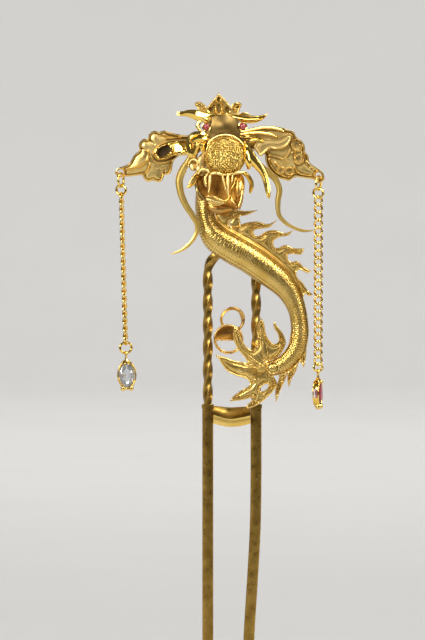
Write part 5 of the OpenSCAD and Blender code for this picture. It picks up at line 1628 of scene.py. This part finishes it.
def tail_scroll():
    side = Relief(node_loops("tail_scroll", step=0.2), grid=0.3,
                  swell=lambda gap, points: -SCROLL_DISH * np.clip((gap - 0.3) / 1.2, 0, 1) ** 0.7)
    side.rim(*SCROLL_RIM)
    parts = [side.solid(*flat_of("tail_scroll"), bevel=0.1), scroll_strip()]
    # The scroll in brown gold, which paints the shade and warm reflection of its dished side
    piece("tail_scroll_gold", parts, BROWN_PAINTED_SHADE, ["tail_scroll"])
    # Dark dish in the lower ring's hollow: painted shade
    x, z, r, start, end = SCROLL_SHADE_DISH
    line = arc(x, 0, z, r, np.radians(np.linspace(start, end, 40)))[:, [0, 2]]
    line = evenly(line, step=0.2, closed=True, dims=2)
    floor = dished(line, *SCROLL_SHADE_DISH_Y, grid=0.3, rise=-0.1, reach=1.2, bevel=SHADE_DISH_BEVEL)
    piece("tail_scroll_painted_shade", [floor], SHADED)


# Chains

WIRE_R = 0.2
# How deep a ring hangs in the next one, and how much shorter each loop is than its place
HANG = 2 * WIRE_R + 0.2
EASE = 0.115
LINK_HALF = (0.72, 1.05)
LINK_WIRE = 0.235
RING_WIRE = 0.25
# The two rings over a chain: half width, half length, facing
RING1 = (1.2, 1.5, 65)
RING2 = (1.1, 1.1, -30)
JUMP_FACING = 18
BAIL_FACING = 100
BAIL_R = 0.55
BAIL_WIRE = 0.17
NECK_H = 0.75
CHAIN_Y = -4.5
# Columns: hole x and z, links, pitch, facing, twist, jump ring radius, lean, drop's facing
CHAINS = {
    "left": ((-22.2, 51.1), 20, 1.49, 90, -55, 1.2, 1.6, 8),
    "right": ((17.2, 50.5), 22, 1.52, 0, 55, 0.9, 0, 76)}


def wire_loop(middle, half_w, half_l, facing, twist, wire, stations=36, sides=12):
    """Closed loop of wire that faces an angle, with each end turned out of its plane."""
    t = circle(stations)
    turn = np.radians(facing + twist * np.sin(t))
    p = columns(half_w * np.cos(t) * np.cos(turn), half_w * np.cos(t) * np.sin(turn), half_l * np.sin(t))
    tangent = unit(np.roll(p, -1, 0) - np.roll(p, 1, 0))
    away = unit(p - tangent * (p * tangent).sum(1, keepdims=True))
    up = np.cross(tangent, away)
    a = circle(sides)[None, :, None]
    ring = away[:, None] * np.cos(a) + up[:, None] * np.sin(a)
    return skin(np.asarray(middle) + p[:, None] + wire * ring, looped=True)


def lean_over(parts, hole, lean):
    """Leans parts about a hole, as they hang."""
    for part in parts:
        x, z = part[0][:, 0] - hole[0], part[0][:, 2] - hole[1]
        part[0][:, 0], part[0][:, 2] = slanted(*hole, x, z, lean).T
    return parts


def fused(name, parts_a, parts_b):
    """One mesh from two sets of closed shells, where they run into each other."""
    objects = []
    for k, parts in enumerate((parts_a, parts_b)):
        objects.append(in_scene(f"{name}_{k}", mesh_of(f"{name}_{k}", parts)))
    union = objects[0].modifiers.new("union", "BOOLEAN")
    union.operation, union.object, union.solver = "UNION", objects[1], "MANIFOLD"
    bpy.context.view_layer.update()
    graph = bpy.context.evaluated_depsgraph_get()
    mesh = bpy.data.meshes.new_from_object(objects[0].evaluated_get(graph))
    mesh.materials.clear()
    for made in objects:
        bpy.data.objects.remove(made)
    return mesh


def chain_heights(hole, links, pitch, jump_r):
    """Middles of the first ring, the second ring, the first link and the jump ring."""
    ring1 = hole[1] - RING1[1]
    ring2 = ring1 - RING1[1] + HANG - RING2[1]
    link = ring2 - RING2[1] + HANG - LINK_HALF[1]
    jump = link - (links - 1) * pitch - LINK_HALF[1] + HANG - jump_r
    return ring1, ring2, link, jump


def chain(side):
    hole, links, pitch, facing, twist, jump_r, lean, _ = CHAINS[side]
    ring1, ring2, link, jump = chain_heights(hole, links, pitch, jump_r)
    rings = [(ring1, *RING1), (ring2, *RING2), (jump, jump_r, jump_r, JUMP_FACING)]
    top, second, last = (wire_loop((hole[0], CHAIN_Y, z), half_w, half_l - EASE, turn, 0, RING_WIRE)
                         for z, half_w, half_l, turn in rings)
    half_w, half_l = LINK_HALF
    loops = [top, second]
    for k in range(links):
        middle = (hole[0], CHAIN_Y, link - k * pitch)
        loops.append(wire_loop(middle, half_w, half_l - EASE, facing, twist, LINK_WIRE, sides=9))
    loops.append(last)
    lean_over(loops, hole, lean)
    name = f"chain_{side}_gold"
    dress(name, fused(name, loops[::2], loops[1::2]), WIRE, ["chain_" + side])


# Drops

STONE_HALF = (1.6, 2.6)
SETTING_WALL = 0.32
STONE_STEPS = 16
# Columns: y, scale of the outline, share of a step by which its points are turned
STONE = [
    (-0.75, 0.5, 0), (-0.62, 0.7, 0.5), (-0.42, 0.88, 0), (-0.2, 1, 0.5), (-0.12, 1, 0.5), (0.12, 0.76, 0),
    (0.42, 0.42, 0.5), (0.7, 0.06, 0)]
# Outline of the basket: how far it lies outside the stone's. Half length of the windows in its sides
BASKET_OFF, WINDOW_HALF = 0.2, 0.85
# Rails of the basket: y, share of the outline, radius of the wire
RAILS = [(-0.42, 1.0, 0.15), (0.68, 0.88, 0.13)]
# End walls of the basket: half thickness, half depth, y of the middle
WALL_HALF, WALL_Y = (0.1, 0.55), 0.13
# Beads over the stone's upper end: x, y, z. Their radius
TOP_CLAWS = [(-1.15, -0.6, 2.12), (-0.4, -0.74, 2.32), (0.4, -0.74, 2.32), (1.15, -0.6, 2.12)]
CLAW_R = 0.24
# Foot over the stone's lower end, which stands on both sides: x, y, z, half width, half depth
FOOT = [
    (0.85, -0.25, -2.05, 0.2, 0.45), (0.85, -0.25, -2.45, 0.46, 0.62), (0.83, -0.2, -2.9, 0.46, 0.6),
    (0.8, -0.2, -3.25, 0.24, 0.32)]
# Neck between the roof and the bail: z over the basket's top, radius
NECK = [(-0.15, 0.3), (0.1, 0.24), (NECK_H + 0.1, 0.22)]
# Shift of each row to the right, so that a plumb strand has a direction across
SHIFT = 0.0001
# Roof of the basket: z over its top, half width, half depth
ROOF = [(0.3, 0.28, 0.26), (0.12, 0.45, 0.36), (-0.12, 0.75, 0.5), (-0.32, 1.05, 0.6), (-0.5, 1.15, 0.6)]


def oval(steps, half, turned=0.0):
    """Oval outline with slightly pointed ends."""
    a = 2 * np.pi * (np.arange(steps) + turned) / steps
    return columns(half[0] * squared(np.cos(a), 1.15), half[1] * squared(np.sin(a), 1.05))


def cut_stone():
    """Stone about its own middle: table, crown, girdle and pavilion, with its facets staggered."""
    rings = []
    for y, scale, turned in STONE:
        line = oval(STONE_STEPS, STONE_HALF, turned) * scale
        rings.append(columns(line[:, 0], y, line[:, 1]))
    verts, quads, caps = skin(np.array(rings))
    return verts, np.vstack([quads[:, :3], quads[:, [0, 2, 3]]]), caps


def end_wall(line):
    """Wall of the basket along one end of its outline, which leans in towards its back."""
    a = np.radians(np.arange(0, 360, 30))
    c, s = WALL_HALF[0] * squared(np.cos(a), 0.5), WALL_HALF[1] * squared(np.sin(a), 0.35)
    wall = line[np.argsort(line[:, 0])]
    out = unit(wall / np.square([1, STONE_HALF[1] / STONE_HALF[0]]))
    x, z = (wall[:, k:k + 1] * (0.94 - 0.06 * (s / WALL_HALF[1])) + out[:, k:k + 1] * c for k in (0, 1))
    return skin(columns(x, WALL_Y + s, z))


def setting(bail_facing):
    """Open basket about its own middle: rails and end walls, claws, feet and roof, the neck and the bail."""
    line = drawn(oval(72, [half + BASKET_OFF for half in STONE_HALF]))
    normal = -normals_of(line)
    a = np.radians(np.arange(0, 360, 30))
    parts = []
    for y, share, wire in RAILS:
        x, z = (line[:, k:k + 1] * share + normal[:, k:k + 1] * wire * np.cos(a) for k in (0, 1))
        parts.append(skin(columns(x, y + wire * np.sin(a), z), looped=True))
    parts += [end_wall(line[line[:, 1] * end > WINDOW_HALF]) for end in (-1, 1)]
    parts.append(balls(TOP_CLAWS, CLAW_R, sides=16, rings=8))
    for side in (-1, 1):
        rows = [(x * side + SHIFT * k, *row) for k, (x, *row) in enumerate(FOOT)]
        parts.append(strand(rows, sides=14, step=0.1))
    a = np.radians(np.arange(0, 360, 15))
    c, s = squared(np.cos(a), 0.6), squared(np.sin(a), 0.6)
    top = STONE_HALF[1] + SETTING_WALL
    parts.append(skin(np.array([columns(w * c, d * s, top + z) for z, w, d in ROOF])))
    rows = [(SHIFT * k, 0, top + z, r) for k, (z, r) in enumerate(NECK)]
    parts.append(strand(rows, sides=12, step=0.08))
    bail = (0, 0, top + NECK_H + BAIL_R)
    parts.append(wire_loop(bail, BAIL_R, BAIL_R, bail_facing, 0, BAIL_WIRE, stations=32, sides=10))
    return parts


def turned(parts, angle, place):
    c, s = cos_sin(angle)
    turn = np.array([[c, -s, 0], [s, c, 0], [0, 0, 1]])
    return [(part[0] @ turn.T + place, *part[1:]) for part in parts]


# Room between the bail and the jump ring
BAIL_EASE = 0.14
GEMS = {"left": (CLEAR, "clear_stone"), "right": (RUBY, "red_stone")}


def drop(side):
    material, slot = GEMS[side]
    hole, links, pitch, _, _, jump_r, lean, facing = CHAINS[side]
    jump = chain_heights(hole, links, pitch, jump_r)[3]
    bail = jump - jump_r + WIRE_R + BAIL_WIRE + BAIL_EASE - BAIL_R
    place = (hole[0], CHAIN_Y, bail - BAIL_R - NECK_H - SETTING_WALL - STONE_HALF[1])
    basket = lean_over(turned(setting(BAIL_FACING - facing), facing, place), hole, lean)
    gem = lean_over(turned([cut_stone()], facing, place), hole, lean)
    piece(f"drop_{side}_gold", basket, WIRE, ["drop_" + side])
    piece(f"stone_{side}_cut", gem, material, ["stone_" + side], slot=slot, sharp=1)


# Stage, lights and camera

# Floor: height, radius, where it is cut off in front; the sweep's radius and the wall's height
FLOOR_Z = -80
FLOOR_R = 1250
FLOOR_FRONT = -260
SWEEP_R = 250
WALL_H = 700
WALL_STEPS, SWEEP_STEPS = 90, 16
# Tints of the paper, and the size of their cloud
PAPER = ((0.80, 0.79, 0.77), (0.76, 0.75, 0.74))
PAPER_CLOUD = 60
PAPER_ROUGH = 0.9
# Lights: name, place, what it faces, width and height, watts, colour
PIN_MIDDLE = (-4, -4, 30)
LIGHTS = [
    ("top_light", (200, -260, 430), PIN_MIDDLE, (240, 170), 1.7, (1, 1, 1)),
    ("key_light", (-330, -420, 240), PIN_MIDDLE, (210, 240), 2.3, (1, 1, 1)),
    ("side_light", (430, -260, 160), PIN_MIDDLE, (60, 240), 0.6, (1, 0.96, 0.9)),
    ("wall_light", (0, 800, 640), (0, 1000, -80), (1300, 800), 6, (1, 1, 1))]
STUDIO = (0.105, 0.10, 0.09)
# Camera: the photograph's frame is 425 x 640 pixels of 0.2 mm, and its middle lies at VIEW_MIDDLE
PHOTO_HEIGHT_PX = 640
PIXEL = 0.2
VIEW_MIDDLE = (-3.9, -3.5, 21.6)
VIEW_DISTANCE = 700
VIEW_RISE = 3
SENSOR = 36
# Nearest and farthest that the camera sees, in metres
CLIP = (0.01, 10)


def stage():
    """Round floor that is cut off in front, and sweeps up into a wall round the rest."""
    start = math.asin(FLOOR_FRONT / (FLOOR_R + SWEEP_R))
    a = np.linspace(start, math.pi - start, WALL_STEPS)
    turn = np.radians(np.linspace(-90, 0, SWEEP_STEPS))
    r = np.array([*(FLOOR_R + SWEEP_R * np.cos(turn)), FLOOR_R + SWEEP_R])[:, None]
    z = np.array([*(FLOOR_Z + SWEEP_R + SWEEP_R * np.sin(turn)), WALL_H])[:, None]
    wall = columns(r * np.cos(a), r * np.sin(a), z)
    corners = np.array([(-x, FLOOR_FRONT, FLOOR_Z) for x in wall[0, (0, -1), 0]])
    verts = np.vstack([wall.reshape(-1, 3), corners])
    k = (np.arange(len(r) - 1)[:, None] * WALL_STEPS + np.arange(WALL_STEPS - 1)).ravel()
    faces = columns(k, k + WALL_STEPS, k + 1 + WALL_STEPS, k + 1)
    ground = np.array([[*range(WALL_STEPS), len(verts) - 2, len(verts) - 1]])
    mesh = mesh_of("floor", [(verts, faces, ground)])
    mesh.shade_smooth()
    paper = Finish("paper")
    paper.set(Roughness=PAPER_ROUGH)
    paper.link("Base Color", paper.blend(paper.noise(PAPER_CLOUD), *PAPER))
    mesh.materials.append(paper.material)
    floor = in_scene("floor", mesh)


def soft_light(name, place, target, size, watts, colour):
    data = bpy.data.lights.new(name, "AREA")
    data.shape = "RECTANGLE"
    data.size, data.size_y = size[0] * MM, size[1] * MM
    data.energy = watts
    data.color = colour
    light = in_scene(name, data)
    light.location = Vector(place) * MM
    light.rotation_euler = (Vector(target) - Vector(place)).to_track_quat("-Z", "Y").to_euler()


def lights():
    for light in LIGHTS:
        soft_light(*light)
    world = bpy.data.worlds.new("studio")
    world.use_nodes = True
    sky = world.node_tree.nodes["Background"]
    sky.inputs["Color"].default_value = (*STUDIO, 1)
    sky.inputs["Strength"].default_value = 1.0
    bpy.context.scene.world = world
    bpy.context.scene.view_settings.view_transform = "Standard"


def camera():
    data = bpy.data.cameras.new("camera")
    data.sensor_width = SENSOR
    data.lens = SENSOR * VIEW_DISTANCE / (PHOTO_HEIGHT_PX * PIXEL)
    data.clip_start, data.clip_end = CLIP
    made = in_scene("camera", data)
    rise = math.radians(VIEW_RISE)
    back = Vector((0, -math.cos(rise), math.sin(rise)))
    made.location = (Vector(VIEW_MIDDLE) + back * VIEW_DISTANCE) * MM
    made.rotation_euler = (-back).to_track_quat("-Z", "Y").to_euler()
    bpy.context.scene.camera = made


def both(make, name=""):
    for side in ("left", "right"):
        make(name + side)


camera()
stage()
lights()
fork()
dragon_body()
fin("dorsal_fins", DORSAL_LINES, extra=[back_leaf(), seam()])
fin("tail_spikes", SPIKE_LINES)
fin("tail_fin", TAIL_LINES, TAIL_BARE, tail_fan(), [balls(TAIL_TIP, TAIL_TIP_R)])
tail_scroll()
both(wing, "wing_")
ear_left()
ear_right()
skull()
both(eye, "eye_")
muzzle()
jaw()
tongue()
lip_fringe()
both(cheek, "cheek_")
beard_root()
both(whisker, "whisker_")
both(horn, "horn_")
crest()
both(chain)
both(drop)
